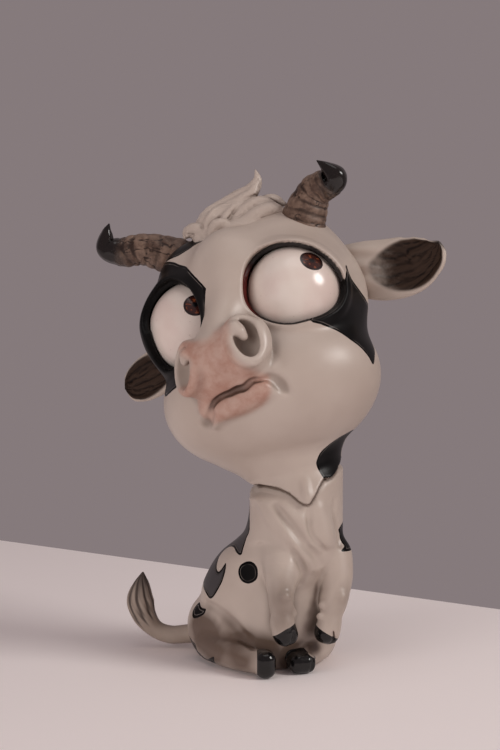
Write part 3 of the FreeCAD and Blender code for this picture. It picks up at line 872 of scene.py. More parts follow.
def head_outer(p):
    """The finished outside of the head, local millimetres."""
    out = head_skin(p)
    # the face: only near it
    near = (p[:, 1] < -6) & (p[:, 2] < 26) & (p[:, 2] > -42)
    if near.any():
        q = p[near]
        f = face_lips(q)
        f = sx(f, -MOUTH(q), 0.9)
        for hollow in CORNERS:
            f = sx(f, -hollow(q), 1.9)
        for nos in NOSTRILS:
            f = nos.carve(f, q)
        out[near] = f
    # lids and sockets
    for s in (1, -1):
        r, d = OPEN[s](p)
        near = r < 26
        if near.any():
            rr, dd, f = r[near], d[near], out[near]
            if s > 0:
                lid = np.sqrt((dd - 1.5) ** 2 + (rr - RIM_R + 1.2) ** 2) - 1.4
                f = sm(f, lid, 3.2)
            else:
                lid = np.sqrt((dd - 2.2) ** 2 + (rr - RIM_R + 1.7) ** 2) - 2.3
                f = sm(f, lid, 3.5)
            cone = np.maximum(dd, 12.0 - rr)
            f = sx(f, -cone, 1.1)
            f = sx(f, 15.35 - rr, 0.35)
            out[near] = f
    return out


def head_piece(front):
    def f(p):
        out = head_outer(p)
        w = to_world(p)
        r, up = neck_polar(w)
        near = r < 30
        if near.any():
            rr, uu = r[near], up[near]
            flap = np.maximum(rr - 18.5, -uu)
            g = sm(sm(out[near], flap, 2.6), CHIN_RIDGE(p[near]), 1.0)
            g = sx(g, 17.55 - rr, 0.12)
            # no head below the seam within the neck's reach
            g = sx(g, -uu - np.clip(rr - 18.6, 0, 20) * 0.45, 0.15)
            out[near] = g
        # the closed hollow of the casting is never seen, so only the passage of the spring is cut
        pas = np.maximum(np.hypot(w[:, 0] - PIVOT[0], w[:, 1] - PIVOT[1]) - 8.5,
                         np.abs(w[:, 2] - 66) - 16).astype(F4)
        out = np.maximum(out, -pas)
        cut = (p[:, 1] - 11.0) if front else (11.0 - p[:, 1])
        return sx(out, cut, 0.45)
    return f


# patches of the head; outline points are picture points or (x, y, z) in the head's frame
def skin_points(spec, f):
    out = []
    for s in spec:
        out.append(hit(f, s[0], s[1])[0] if len(s) == 2 else np.array(s, float))
    return np.array(out)


def on_ball(side, px, py, r):
    """Where a line of sight meets (or passes nearest to) a sphere about the eye's centre."""
    e = EYES[side].astype(float)
    o, d = (EYE_POINT - HEAD_C) @ HEAD_M, sight(px, py) @ HEAD_M
    oc = o - e
    b = float(oc @ d)
    q = oc + d * (-b - math.sqrt(max(b * b - float(oc @ oc) + r * r, 0.0)))
    return e + q * (r / np.linalg.norm(q))


def head_mesh():
    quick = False
    parts = {}
    for name, front, h, lo, hi in (
            ("head_front_shell", True, 0.7 if quick else 0.565, (-37.5, -42, -60), (37.5, 12, 39)),
            ("head_back_shell", False, 0.8 if quick else 0.6, (-37.5, 10, -60), (37.5, 34, 39))):
        v, q = field_mesh(head_piece(front), lo, hi, h)
        v, q = largest(v, q)
        parts[name] = (v, q)
        tick(name + " %d" % len(q))
    return parts


def occlusion(f, v, nrm, reach):
    d = run(f, v + nrm * reach)
    return 1 - np.clip(d / reach, 0, 1)


def vertex_normals(v, q):
    a, b, c, d = (v[q[:, k]] for k in range(4))
    n = np.cross(c - a, d - b)
    out = np.zeros_like(v)
    for k in range(4):
        np.add.at(out, q[:, k], n)
    return out / np.maximum(length(out), 1e-9)[:, None]


PINK_CENTRE = np.array([-0.8, -14.0, -13.0])


def build_head():
    centre = (0.0, 1.0, -4.0)
    f0 = head_face
    eye_l = [(186.5, 267), (179, 264.5), (172, 262), (160, 262), (-33.5, -2, 27),
             (-35.5, 2, 16), (-35.8, 4, 2), (-34.6, 0, -8), (-33.5, -6, -15.5), (162, 394),
             (167, 396), (179, 382), (188, 372), (201, 345), (205, 338), (212.3, 319),
             (213.5, 309), (212.9, 300), (209.8, 292.8), (203, 285), (195.9, 277.3)]
    streak = [(163, 264), (170, 252), (178, 244), (187, 238.5), (198, 234.3), (206, 233),
              (206.8, 236.5), (199, 243), (188, 250), (176, 257)]
    eye_r = [(346, 264.5), (348.6, 272), (352, 279.5), (358, 288), (366, 300), (370.6, 310),
             (373.8, 335), (374.8, 355), (373.2, 364.5), (368.5, 357), (361, 348), (350, 339.5),
             (337, 331), (322, 324.8), (311.5, 321.5), (*on_ball(1, 316, 313, 16.9),),
             (*on_ball(1, 329, 306, 16.9),), (*on_ball(1, 338, 298, 16.9),),
             (*on_ball(1, 343.5, 291, 17.4),), (*on_ball(1, 344.6, 283, 17.4),),
             (*on_ball(1, 345.0, 274, 17.6),)]
    neck = [(355.5, 430.4), (352, 430.2), (345, 434), (336.5, 439), (327, 446), (320, 453),
            (316.5, 461), (316.7, 467), (319.5, 472), (324, 476), (329.6, 478.3), (333, 477),
            (338, 469), (342, 458), (346, 450), (352, 440)]
    patches = []
    f_eye = [Patch(skin_points(eye_l, head_outer), centre),
             Patch(skin_points(streak, head_outer), centre),
             Patch(skin_points(eye_r, head_outer), centre),
             Patch(skin_points(neck, f0), (3.0, -4.0, -30.0))]
    back = [  # patches of its own on the back and the top, where the photograph shows nothing
        [(-14, 30, 14), (-5, 31.5, 20), (6, 31, 18), (10, 31.5, 9), (4, 32, 1), (-6, 32, -2),
         (-14, 31, 4)],
        [(18, 25, -18), (24, 20, -12), (29, 13.5, -16), (27, 14, -26), (19, 22, -28)]]
    f_eye += [Patch(np.array(b, float), centre) for b in back]
    pk = [(188.5, 346.5), (202, 341), (216, 331), (229, 325.5), (231.5, 331), (229.5, 343),
          (233, 354), (241, 364.5), (251, 370), (262, 373.5), (268, 377), (268, 392), (263, 402),
          (252, 409), (236, 414), (218, 418), (209.5, 421), (203.5, 412), (199.5, 401),
          (196, 388), (194.5, 372), (191, 358)]
    pink_patch = Patch(skin_points(pk, f0), PINK_CENTRE)
    out = {}
    for name, (v, q) in head_mesh().items():
        n = vertex_normals(v, q)
        sd = np.max([p(v) for p in f_eye], 0)
        # only the outer skin takes paint
        hollow = np.minimum(ell(v, (0, 3, 7), (33.2, 26.2, 27.7)),
                            ell(v, (-0.8, -1, -16.5), (33.0, 27.2, 19.5)))
        r1, d1 = OPEN[1](v)
        r2, d2 = OPEN[-1](v)
        re = np.minimum(r1, r2)
        w = to_world(v)
        rn, un = neck_polar(w)
        inner = (hollow < 0) & (re > 17.0)
        inner |= rn < 17.9
        sd = np.where(inner, -3.0, sd)
        nose = np.minimum(ell(v, (-1.4, -29.2, -12.0), (12.5, 10.0, 9.0), snout_rot),
                          np.minimum(*[ell(v, n_.bulb[0], n_.bulb[1], n_.m) for n_ in NOSTRILS]))
        sd = np.minimum(np.minimum(sd, nose - 1.6), v[:, 1] + 27.5)
        front_only = np.where(name == "head_front_shell", 10.3 - v[:, 1], v[:, 1] - 11.7)
        sd = np.minimum(sd, front_only)
        # painted shade: darker where the skin sits deep in creases and hollows, together with the brown wash; lighter
        # round the nostrils
        wash_and_shade = 0.55 * occlusion(head_outer, v, n, 2.0) ** 1.5 + 0.45 * occlusion(head_outer, v, n, 5.5) ** 2
        wash_and_shade = np.where(length(v - NOSTRILS[1].c.astype(F4)) < 8.5, 0.6 * wash_and_shade, wash_and_shade)
        wash_and_shade = np.where(length(v - NOSTRILS[0].c.astype(F4)) < 7.0, 0.75 * wash_and_shade, wash_and_shade)
        # painted shadow along the mouth line, strongest in the middle
        middle = 0.30 + 0.70 * step(v[:, 0], -12.5, -8.5) * step(v[:, 0], 6.5, 1.5)
        wash_and_shade = wash_and_shade + 0.9 * middle * step(MOUTH(v), 0.45, -0.45)
        # painted shade in the hollows at the mouth's corners
        for hollow_tube in CORNERS:
            wash_and_shade = wash_and_shade + 1.3 * step(hollow_tube(v), 0.7, -0.7)
        # painted shadow along the head's rim at the seam with the neck
        wash_and_shade = wash_and_shade + 0.7 * step(un, 0.30, 0.08) * (rn < 19.0)
        dn, rm = np.where(r1 < r2, d1, d2), np.minimum(r1, r2)
        # black of the socket: black paint on the lid's inner edge and painted shade in the cavity round the eyeball
        soc = np.maximum(step(rm, 15.95, 15.65), step(dn, 0.95, 0.7) * step(rm, 17.2, 17.0))
        soc = soc * (dn < 4.0)
        red = step(-v[:, 0] * np.where(r1 < r2, 1, -1) + 8.2, -2.0, 3.0) * step(v[:, 2], 22, 12)
        red = red * np.where(r1 < r2, 1, 0.1)
        pink = step(pink_patch(v), -1.6, 1.2) * (v[:, 1] < -20)
        worn = 0.8 * step(v[:, 2], -9.0, -17.0) * step(v[:, 0], -20, -25)
        attrs = {"paint": sd, "wash_and_shade": wash_and_shade, "socket": soc, "red": red, "pink": pink, "worn": worn}
        out[name] = new_object("sculpt_" + name, to_world(v), q, attrs)
    return out


# ================================================================== THE BODY (world)
TORSO = np.array([  # height, centre x, centre y, half width, half depth
    (-2.0, 1.0, 2.4, 18.0, 20.6), (0.0, 1.0, 2.6, 18.8, 21.2), (5.0, 1.0, 2.4, 19.8, 21.8),
    (13.0, 1.2, 2.0, 19.9, 21.8), (22.0, 1.6, 1.0, 19.8, 21.0), (27.0, 2.1, -0.4, 18.9, 20.6),
    (31.0, 2.6, -2.2, 17.8, 20.0), (34.0, 3.2, -4.3, 17.0, 19.2), (38.0, 4.4, -7.6, 15.5, 17.0),
    (42.0, 5.2, -10.2, 14.5, 15.0), (47.0, 5.8, -11.2, 13.5, 13.8), (52.0, 6.1, -11.5, 13.1, 13.3),
    (60.0, 6.4, -11.6, 12.8, 13.0)])
_tz = np.linspace(-2, 60, 125)
_tt = smooth_path(TORSO, 200)
_tt = _tt[np.argsort(_tt[:, 0])]
TORSO_TABLE = np.stack([np.interp(_tz, _tt[:, 0], _tt[:, k]) for k in range(5)], 1).astype(F4)


def torso(w):
    z = np.clip(w[:, 2], -2, 60)
    cx, cy, a, b = (np.interp(z, TORSO_TABLE[:, 0], TORSO_TABLE[:, k]).astype(F4) for k in (1, 2, 3, 4))
    x, y = w[:, 0] - cx, w[:, 1] - cy
    k0 = np.sqrt((x / a) ** 2 + (y / b) ** 2)
    k1 = np.sqrt((x / a ** 2) ** 2 + (y / b ** 2) ** 2)
    return (k0 * (k0 - 1) / np.maximum(k1, 1e-6) * 0.92).astype(F4)


def zrot(d):
    return turn((0, 0, 1), d)


def neck_tube(w):
    """The neck below the seam: as wide as seen, deep enough to meet the rim of the head."""
    q = (w - neck_c.astype(F4)) @ VIEW.astype(F4)
    a, b = F4(13.6), F4(16.0)
    k0 = np.sqrt((q[:, 0] / a) ** 2 + (q[:, 1] / b) ** 2)
    k1 = np.sqrt((q[:, 0] / a ** 2) ** 2 + (q[:, 1] / b ** 2) ** 2)
    return np.maximum(k0 * (k0 - 1) / np.maximum(k1, 1e-6), np.abs(q[:, 2]) - 11).astype(F4)


neck_c = RIGHT * 10.0 + FRONT * 7.4 + UP * 52.0


def body_masses(w):
    """Torso, haunches and hind legs without the small folds."""
    f = torso(w)
    f = sm(f, neck_tube(w), 4)
    f = sm(f, ell(w, (2.8, -16.8, 18.0), (12.0, 5.6, 13.0)), 4)
    f = sm(f, ell(w, (1.0, 15.0, 9.0), (15.0, 14.0, 10.5)), 4)
    # the chest between the shoulders
    f = sm(f, ell(w, (2.6, -18.6, 36.0), (9.6, 7.6, 10.0)), 4)
    # haunches
    f = sm(f, ell(w, (-10.6, 8.4, 8.8), (9.6, 13.4, 11.6), turn((1, 0, 0), 10)), 1.6)
    f = sm(f, ell(w, (13.4, 3.0, 9.0), (9.4, 13.8, 11.4), turn((1, 0, 0), 10)), 1.6)
    # lower hind legs on the ground
    f = sm(f, RIGHT_FOOT(w), 1.6)
    f = sm(f, LEFT_FOOT(w), 1.6)
    return f


RIGHT_FOOT = Tube([(-16.2, 4.0, 5.0), (-16.6, -6.0, 4.6), (-15.4, -15.0, 4.4), (-14.0, -21.0, 4.3)],
                  [5.0, 4.7, 4.2, 3.7], n=16, margin=8)
LEFT_FOOT = Tube([(17.5, -7.0, 4.6), (12.5, -13.0, 4.6), (6.6, -18.5, 4.3), (2.6, -21.6, 4.0)],
                 [4.8, 4.7, 4.0, 3.3], n=16, margin=8)
SHOULDERS = [((-4.2, -18.4, 34.0), (5.8, 6.2, 8.8), turn((1, 0, 0), -16)),
             ((12.8, -19.0, 34.0), (6.0, 6.4, 9.6), turn((1, 0, 0), -14))]
LEGS = [Tube([(-4.4, -20.4, 34.0), (-6.6, -22.6, 29.5), (-7.9, -24.4, 25.6), (-8.3, -25.2, 22.6),
              (-8.4, -25.6, 19.4), (-8.2, -25.9, 16.4), (-8.0, -26.0, 14.4)],
             [6.0, 5.1, 4.0, 3.75, 3.3, 3.75, 3.6], n=28, margin=8),
        Tube([(12.8, -20.8, 34.0), (12.6, -22.9, 29.0), (11.6, -24.6, 24.6), (10.2, -25.5, 21.2),
              (9.0, -26.1, 17.4), (8.1, -26.5, 14.4), (7.5, -26.6, 12.8)],
             [6.2, 5.5, 4.6, 4.4, 3.6, 3.8, 3.6], n=28, margin=8)]
KNOBS = [((-5.2, -26.6, 20.2), 0.9), ((-4.9, -26.9, 19.0), 0.8), ((5.6, -26.0, 20.4), 0.9),
         ((4.8, -26.2, 17.2), 0.9), ((-8.6, -28.2, 25.0), 1.4), ((11.2, -28.4, 23.0), 1.8)]


def forelegs(w):
    f = None
    for i in (0, 1):
        c, r, rot = SHOULDERS[i]
        g = sm(ell(w, c, r, rot), LEGS[i](w), 2.0)
        f = g if f is None else np.minimum(f, g)
    for c, r in KNOBS:
        f = sm(f, sph(w, c, r), 1.4)
    return f


def skin0(w):
    return sm(body_masses(w), forelegs(w), 1.5)


def body_detail():
    """Folds and creases on the skin, by where they are seen."""
    ridges, creases = [], []

    def ridge(pts, rad, lift, k):
        ridges.append((Tube(on_skin(skin0, pts, lift, local=False), rad, n=20, margin=5), k))

    def skin1(w):
        f = skin0(w)
        for t, k in ridges:
            f = sm(f, t(w), k)
        return f

    def crease(pts, rad, lift, k):
        creases.append((Tube(on_skin(skin1, pts, lift, local=False), rad, n=20, margin=5), k))

    # folds of the chest, from the right shoulder across and down
    ridge([(256, 494), (266, 508), (279, 525), (293, 541), (306, 556), (313, 567)],
          [1.6, 2.5, 2.8, 2.8, 2.4, 1.4], -1.25, 2.2)
    ridge([(282, 499), (292, 512), (301, 526), (309, 539), (317, 550)], [1.2, 2.1, 2.4, 2.2, 1.2],
          -1.3, 2.0)
    ridge([(252.5, 497), (262, 494), (274, 497)], [1.8, 1.8, 1.0], -1.2, 2.2)
    # the dewlap
    ridge([(320, 511), (323, 524), (326, 536), (328.5, 547), (326, 558), (319, 569)],
          [2.4, 3.4, 3.6, 3.2, 2.3, 1.0], -1.8, 2.6)
    crease([(308.5, 508), (309.2, 520), (309.8, 529), (313.5, 538), (320, 545), (326, 551)],
           [0.3, 0.6, 0.7, 0.7, 0.6, 0.2], 0.25, 1.2)
    crease([(275, 506), (284.6, 518), (294, 530.5), (304.7, 544), (314, 556), (320, 564)],
           [0.4, 0.8, 1.0, 1.0, 0.6, 0.2], 0.55, 2.2)
    crease([(289, 545), (297, 557), (302, 566), (304, 574), (301, 583)], [0.2, 0.6, 0.7, 0.6, 0.2],
           0.35, 1.6)
    crease([(335, 500), (334, 515), (337, 530), (340, 545)], [0.3, 0.6, 0.7, 0.3], 0.3, 1.8)
    # crease between haunch and belly
    crease([(206, 603), (216, 608.5), (226, 616.5), (236, 626.5), (246, 638), (254, 648)],
           [0.5, 0.7, 0.9, 1.1, 1.1, 0.8], 0.4, 2.0)
    return ridges, creases


RIDGES, CREASES = body_detail()
HOOVES = [  # centre, half sizes, rounding, turn
    ((-12.9, -23.6, 4.05), (3.0, 4.2, 4.1), 2.7, turn((0, 0, 1), -24)),
    ((-0.4, -23.8, 3.05), (4.1, 4.2, 3.1), 2.8, turn((0, 0, 1), -12)),
    ((-7.3, -26.3, 12.9), (3.6, 3.5, 3.35), 3.1, turn((0, 1, 0), -20)),
    ((7.1, -26.8, 11.9), (3.7, 3.5, 3.35), 3.1, turn((0, 1, 0), 18)),
]
CLEFTS = [  # the split between the toes
    Tube([(-10.6, -27.0, 8.0), (-10.4, -27.4, 4.0), (-10.4, -27.0, 0.6)], [0.35, 0.5, 0.6]),
    Tube([(2.2, -27.4, 6.4), (1.4, -27.9, 3.6), (1.2, -27.6, 0.6)], [0.3, 0.5, 0.7]),
    Tube([(-6.4, -29.6, 14.0), (-6.6, -29.4, 11.6), (-6.9, -28.0, 9.8)], [0.3, 0.45, 0.6]),
    Tube([(7.3, -30.0, 12.9), (7.5, -29.6, 10.5), (7.7, -28.4, 8.7)], [0.3, 0.45, 0.6]),
]


def rounded_box(p, c, half, r, rot):
    q = np.abs((p - np.asarray(c, F4)) @ rot.astype(F4)) - (np.asarray(half, F4) - F4(r))
    return length(np.maximum(q, 0)) + np.minimum(q.max(1), 0) - r


def hooves(w):
    f = None
    for c, half, r, rot in HOOVES:
        g = rounded_box(w, c, half, r, rot)
        f = g if f is None else np.minimum(f, g)
    for t in CLEFTS:
        f = sx(f, -t(w), 0.5)
    return f


def body_outer(w):
    f = skin0(w)
    for t, k in RIDGES:
        f = sm(f, t(w), k)
    for t, k in CREASES:
        f = sx(f, -t(w), k)
    f = sm(f, hooves(w), 1.0)
    for t in CLEFTS:
        f = sx(f, -t(w), 0.5)
    return f


def body_piece(w):
    f = body_outer(w)
    r, up = neck_polar(w)
    # the neck's ball: nothing of the body is above the seam beyond it
    ball = r - 17.2
    far = np.clip(-2.0 - up, 0, 80)
    room = np.clip(-0.4 - up, 0, 2.2) * 0.22 + 0.9 * far * far / (far + 1.2) + 3 * np.clip(far - 5, 0, 80)
    f = sx(f, ball - room, 0.9)
    top = w[:, 2] - 63.0
    f = sx(f, top, 2.0)
    f = sx(f, -w[:, 2], 0.5)
    bore = np.hypot(w[:, 0] - PIVOT[0], w[:, 1] - PIVOT[1]) - 8.5
    f = np.maximum(f, -np.maximum(bore, 28.0 - w[:, 2]))
    return f


SHADE_AND_WASH_SPOTS = [  # painted shade in the hollows and low on the body, with the brown wash: where it is seen, reach in mm, strength
    (201, 628, 8.5, 1.05), (214, 641, 9.0, 0.50), (232, 652, 8.0, 0.42), (248, 662, 6.0, 0.30),
    (226, 620, 4.5, 0.18), (238, 634, 5.0, 0.30), (250, 645, 5.5, 0.35), (268, 650, 6.0, 0.28),
    (188, 642, 7.0, 0.30), (210, 656, 7.0, 0.30), (300, 645, 8.0, 0.25), (304, 600, 7.0, 0.22),
    (290, 660, 6.0, 0.40), (262, 560, 5.0, 0.12), (320, 655, 6.0, 0.12), (280, 600, 6.0, 0.15),
    (335, 600, 7.0, 0.15), (330, 620, 6.0, 0.12), (284, 625, 5.0, 0.20), (282, 588, 10.0, 0.20),
    (282, 612, 10.0, 0.22), (340, 585, 10.0, 0.10), (340, 605, 8.0, 0.10), (240, 662, 7.0, 0.22), (222, 655, 7.0, 0.20),
    (317, 585, 10.0, -0.35), (317, 612, 10.0, -0.35), (311, 640, 8.0, -0.12)]


def build_body():
    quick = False
    v, q = field_mesh(body_piece, (-23, -33, -1), (25, 32, 65), 0.62 if quick else 0.45)
    v, q = largest(v, q)
    tick("body %d" % len(q))
    n = vertex_normals(v, q)
    # painted shade in creases and hollows, together with the brown wash
    wash_and_shade = 0.5 * occlusion(body_piece, v, n, 1.8) ** 1.4 + 0.6 * occlusion(body_piece, v, n, 5.0) ** 1.6
    r, up = neck_polar(v)
    # painted shade eased just below the seam, then a painted shadow line right under the head's rim
    wash_and_shade = wash_and_shade * (1 - 0.8 * step(up, -5.0, -1.0) * step(r, 21.0, 19.0))
    wash_and_shade = wash_and_shade + 0.9 * step(up, -0.85, -0.35) * (r < 18.6)
    # painted shade, darker towards the bottom of the body
    wash_and_shade = wash_and_shade + 0.10 * step(v[:, 2], 36, 16)
    cloud = fbm(v, 8.0, 21)
    # painted shade spots (negative ones lighten) with cloudy edges
    for px, py, r_mm, amount in SHADE_AND_WASH_SPOTS:
        c = hit(skin0, px, py, local=False)[0].astype(F4)
        wash_and_shade = wash_and_shade + 1.5 * amount * step(length(v - c) + 0.16 * r_mm * cloud, r_mm * 1.3, -0.1 * r_mm)
    u = v @ RIGHT.astype(F4)
    z = v[:, 2]
    lims = [u + 1.9, np.maximum(7.4 - 0.75 * (u - 12.0) - z, 11.0 - u),
            12.9 + 0.667 * (u - 3.17) - z, 14.6 - 0.60 * (u - 15.9) - z]
    hoof = np.full(len(v), -1.0, F4)
    for (c, half, r, rot), lim in zip(HOOVES, lims):
        g = rounded_box(v, c, half, r, rot)
        hoof = np.maximum(hoof, np.minimum(0.9 - g, lim * 0.8))
    f0 = skin0
    cen = (2.0, -2.0, 22.0)
    up_cen = (4.0, -8.0, 34.0)

    def pts(spec):
        return np.array([hit(f0, s[0], s[1], local=False)[0] if len(s) == 2 else np.array(s, float)
                         for s in spec])
    patches = [
        Patch(pts([(249.8, 524.8), (246.4, 538.2), (243.5, 547.7), (241.6, 554.3), (237.8, 554),
                   (233, 546.8), (227.3, 547.7), (220.6, 554.4), (216.8, 565), (217.9, 571.3),
                   (221, 569.6), (225.9, 562.6), (225.4, 570.6), (222, 582), (215.8, 593.5),
                   (210.5, 598.6), (206.3, 593.5), (203.4, 582), (-13.5, 10.0, 27), (-9, 13, 34),
                   (-2, 12, 41), (0, 3.0, 48)]), cen),
        Patch(pts([(242.4, 563.4), (248.2, 561.2), (253.6, 562.8), (257, 567.2), (257.9, 573), (256.9, 578.6),
                   (252.8, 582.3), (247.4, 583.6), (242.4, 581.4), (239.3, 577), (238.2, 571.4),
                   (239.5, 566.6)]), cen),
        Patch(pts([(199.6, 602), (201, 606.5), (203, 608), (205.9, 609.2), (203.4, 614.5),
                   (194.8, 618.4), (192.3, 614.5), (194.8, 607)]), cen),
        Patch(pts([(187.2, 633.6), (192.9, 641.3), (198.6, 651.8), (206, 658.5), (211, 657.5),
                   (214.3, 658), (216.8, 665.9), (208.2, 662.3), (198, 656), (189, 643)]), cen),
        Patch(pts([(340.9, 524.8), (339.5, 534.4), (341.8, 542), (344.3, 545.8), (345.6, 551.5),
                   (23.5, -7, 34), (22.5, -3, 38), (20, -5, 42)]), up_cen),
        Patch(np.array([(14, 20, 12), (20, 14, 17), (17, 12, 27), (8, 16, 30), (2, 22, 22),
                        (6, 25, 13)], float), cen),
        Patch(np.array([(24, 0, 20), (24, -6, 16), (23, -8, 9), (24, 0, 6), (24, 6, 12)], float), cen),
    ]
    sd = np.max([p(v) for p in patches], 0)
    sd = np.where((r < 17.7) & (up > -1.0), -3, sd)
    sd = np.minimum(sd, np.where(v[:, 2] < 0.25, -3, 9))
    worn = step(patches[0](v), 0.6, 1.4)
    return new_object("sculpt_body", v, q, {"paint": sd, "wash_and_shade": wash_and_shade, "hoof": hoof, "worn": worn})


# ============================================================ eyeballs, horns, ears...
def build_eyeball(side, name):
    c = EYES[side].astype(float)
    n_lat, n_lon = 96, 128
    th = np.linspace(0, math.pi, n_lat + 1)[1:-1]
    ph = np.linspace(0, 2 * math.pi, n_lon, endpoint=False)
    T, P = np.meshgrid(th, ph, indexing="ij")
    d = np.stack([np.sin(T) * np.cos(P), np.sin(T) * np.sin(P), np.cos(T)], -1).reshape(-1, 3)
    d = np.vstack([d, [0, 0, 1], [0, 0, -1]])
    # poles of the ball point up and down the head, the iris looks where the photograph shows
    v = c + d * EYE_R
    faces = []
    m = n_lat - 1
    for i in range(m - 1):
        for j in range(n_lon):
            k = (j + 1) % n_lon
            faces.append((i * n_lon + j, (i + 1) * n_lon + j, (i + 1) * n_lon + k, i * n_lon + k))
    top, bot = m * n_lon, m * n_lon + 1
    for j in range(n_lon):
        k = (j + 1) % n_lon
        faces.append((top, j, k))
        faces.append((bot, (m - 1) * n_lon + k, (m - 1) * n_lon + j))
    o, s = (EYE_POINT - HEAD_C) @ HEAD_M, None
    px = {1: (311.9, 260.3), -1: (195.3, 304.7)}[side]
    s = sight(*px) @ HEAD_M
    oc = o - c
    b = float(oc @ s)
    t = -b - math.sqrt(b * b - float(oc @ oc) + EYE_R ** 2)
    look = (oc + s * t) / EYE_R
    ang = np.degrees(np.arccos(np.clip(d @ look, -1, 1)))
    ref = np.cross(look, [0, 0, 1.0])
    ref /= np.linalg.norm(ref)
    ref2 = np.cross(look, ref)
    rot = np.arctan2(d @ ref2, d @ ref)
    fleck = noise(np.stack([np.cos(rot) * 6.0, np.sin(rot) * 6.0, ang / 2.6], 1), 1.0, 5)
    ob = new_object("eye_" + name, to_world(v.astype(F4)), faces,
                    {"iris": ang, "fleck": fleck})
    return ob


def build_horn(side, name):
    if side < 0:
        pts = [(-18.5, 2.2, 29.5), (-24.3, -0.6, 34), (-31.5, -4.0, 38.2), (-38.6, -6.3, 39.4),
               (-43, -7.6, 42.0), (-41.2, -9.2, 46.2), (-39.2, -10, 48.6)]
        rad = [6.6, 6.2, 5.2, 4.6, 3.7, 1.8, 0.2]
    else:
        pts = [(21, -1.5, 25), (24.8, -3.2, 31.2), (30, -4.6, 36), (36.2, -6, 36.8),
               (38.4, -7.6, 37.6), (37, -9.2, 40.6), (34.9, -10, 43.4)]
        rad = [7.2, 6.8, 5.5, 4.6, 3.7, 1.9, 0.2]
    n_len, n_round = 190, 120
    c, t, u, w, ex = sweep_grid(np.column_stack([pts, rad]), n_len, n_round)
    a = np.linspace(0, 2 * math.pi, n_round, endpoint=False)
    s = np.linspace(0, 1, n_len)
    S, AA = np.meshgrid(s, a, indexing="ij")
    R = np.maximum(ex[:, 0], 0.2)[:, None] * np.ones_like(AA)
    flat = np.stack([np.cos(AA).ravel() * 5, np.sin(AA).ravel() * 5, S.ravel() * 42], 1)
    rough_part = step(S, 0.58, 0.46).astype(float)
    wav = fbm(flat, 6.0, 11 + side, 3).reshape(R.shape)
    rings = np.sin((S * 15 + 0.45 * wav) * 2 * math.pi)
    ring = np.clip(rings, -1, 0.4)
    crack = np.abs(fbm(flat * np.array([1, 1, 0.8]), 3.4, 31 + side, 3)).reshape(R.shape)
    crack = np.clip(1 - crack / 0.07, 0, 1)
    disp = rough_part * (0.16 * ring + 0.38 * wav - 0.32 * crack)
    disp += (1 - rough_part) * 0.10 * np.cos(AA * 5) * step(S, 0.95, 0.8)
    R2 = R + disp
    v = c[:, None, :] + (np.cos(AA) * R2)[..., None] * u[:, None, :] + \
        (np.sin(AA) * R2)[..., None] * w[:, None, :]
    v = np.vstack([v.reshape(-1, 3), c[0] - t[0] * 0.5, c[-1] + t[-1] * 0.2])
    groove = (rough_part * (np.clip(-rings, 0, 1) * 0.45 + crack * 0.8
                            + np.clip(-wav, 0, 1) * 0.5)).ravel()
    groove = np.concatenate([groove, [0, 0]])
    along = np.concatenate([S.ravel(), [0, 1]])
    return new_object("horn_" + name, to_world(v.astype(F4)), grid_faces(n_len, n_round),
                      {"along": along, "groove": groove})


OVAL = {1: (0.60, 0.41), -1: (0.58, 0.45)}      # middle and half length of the hollow, along the ear


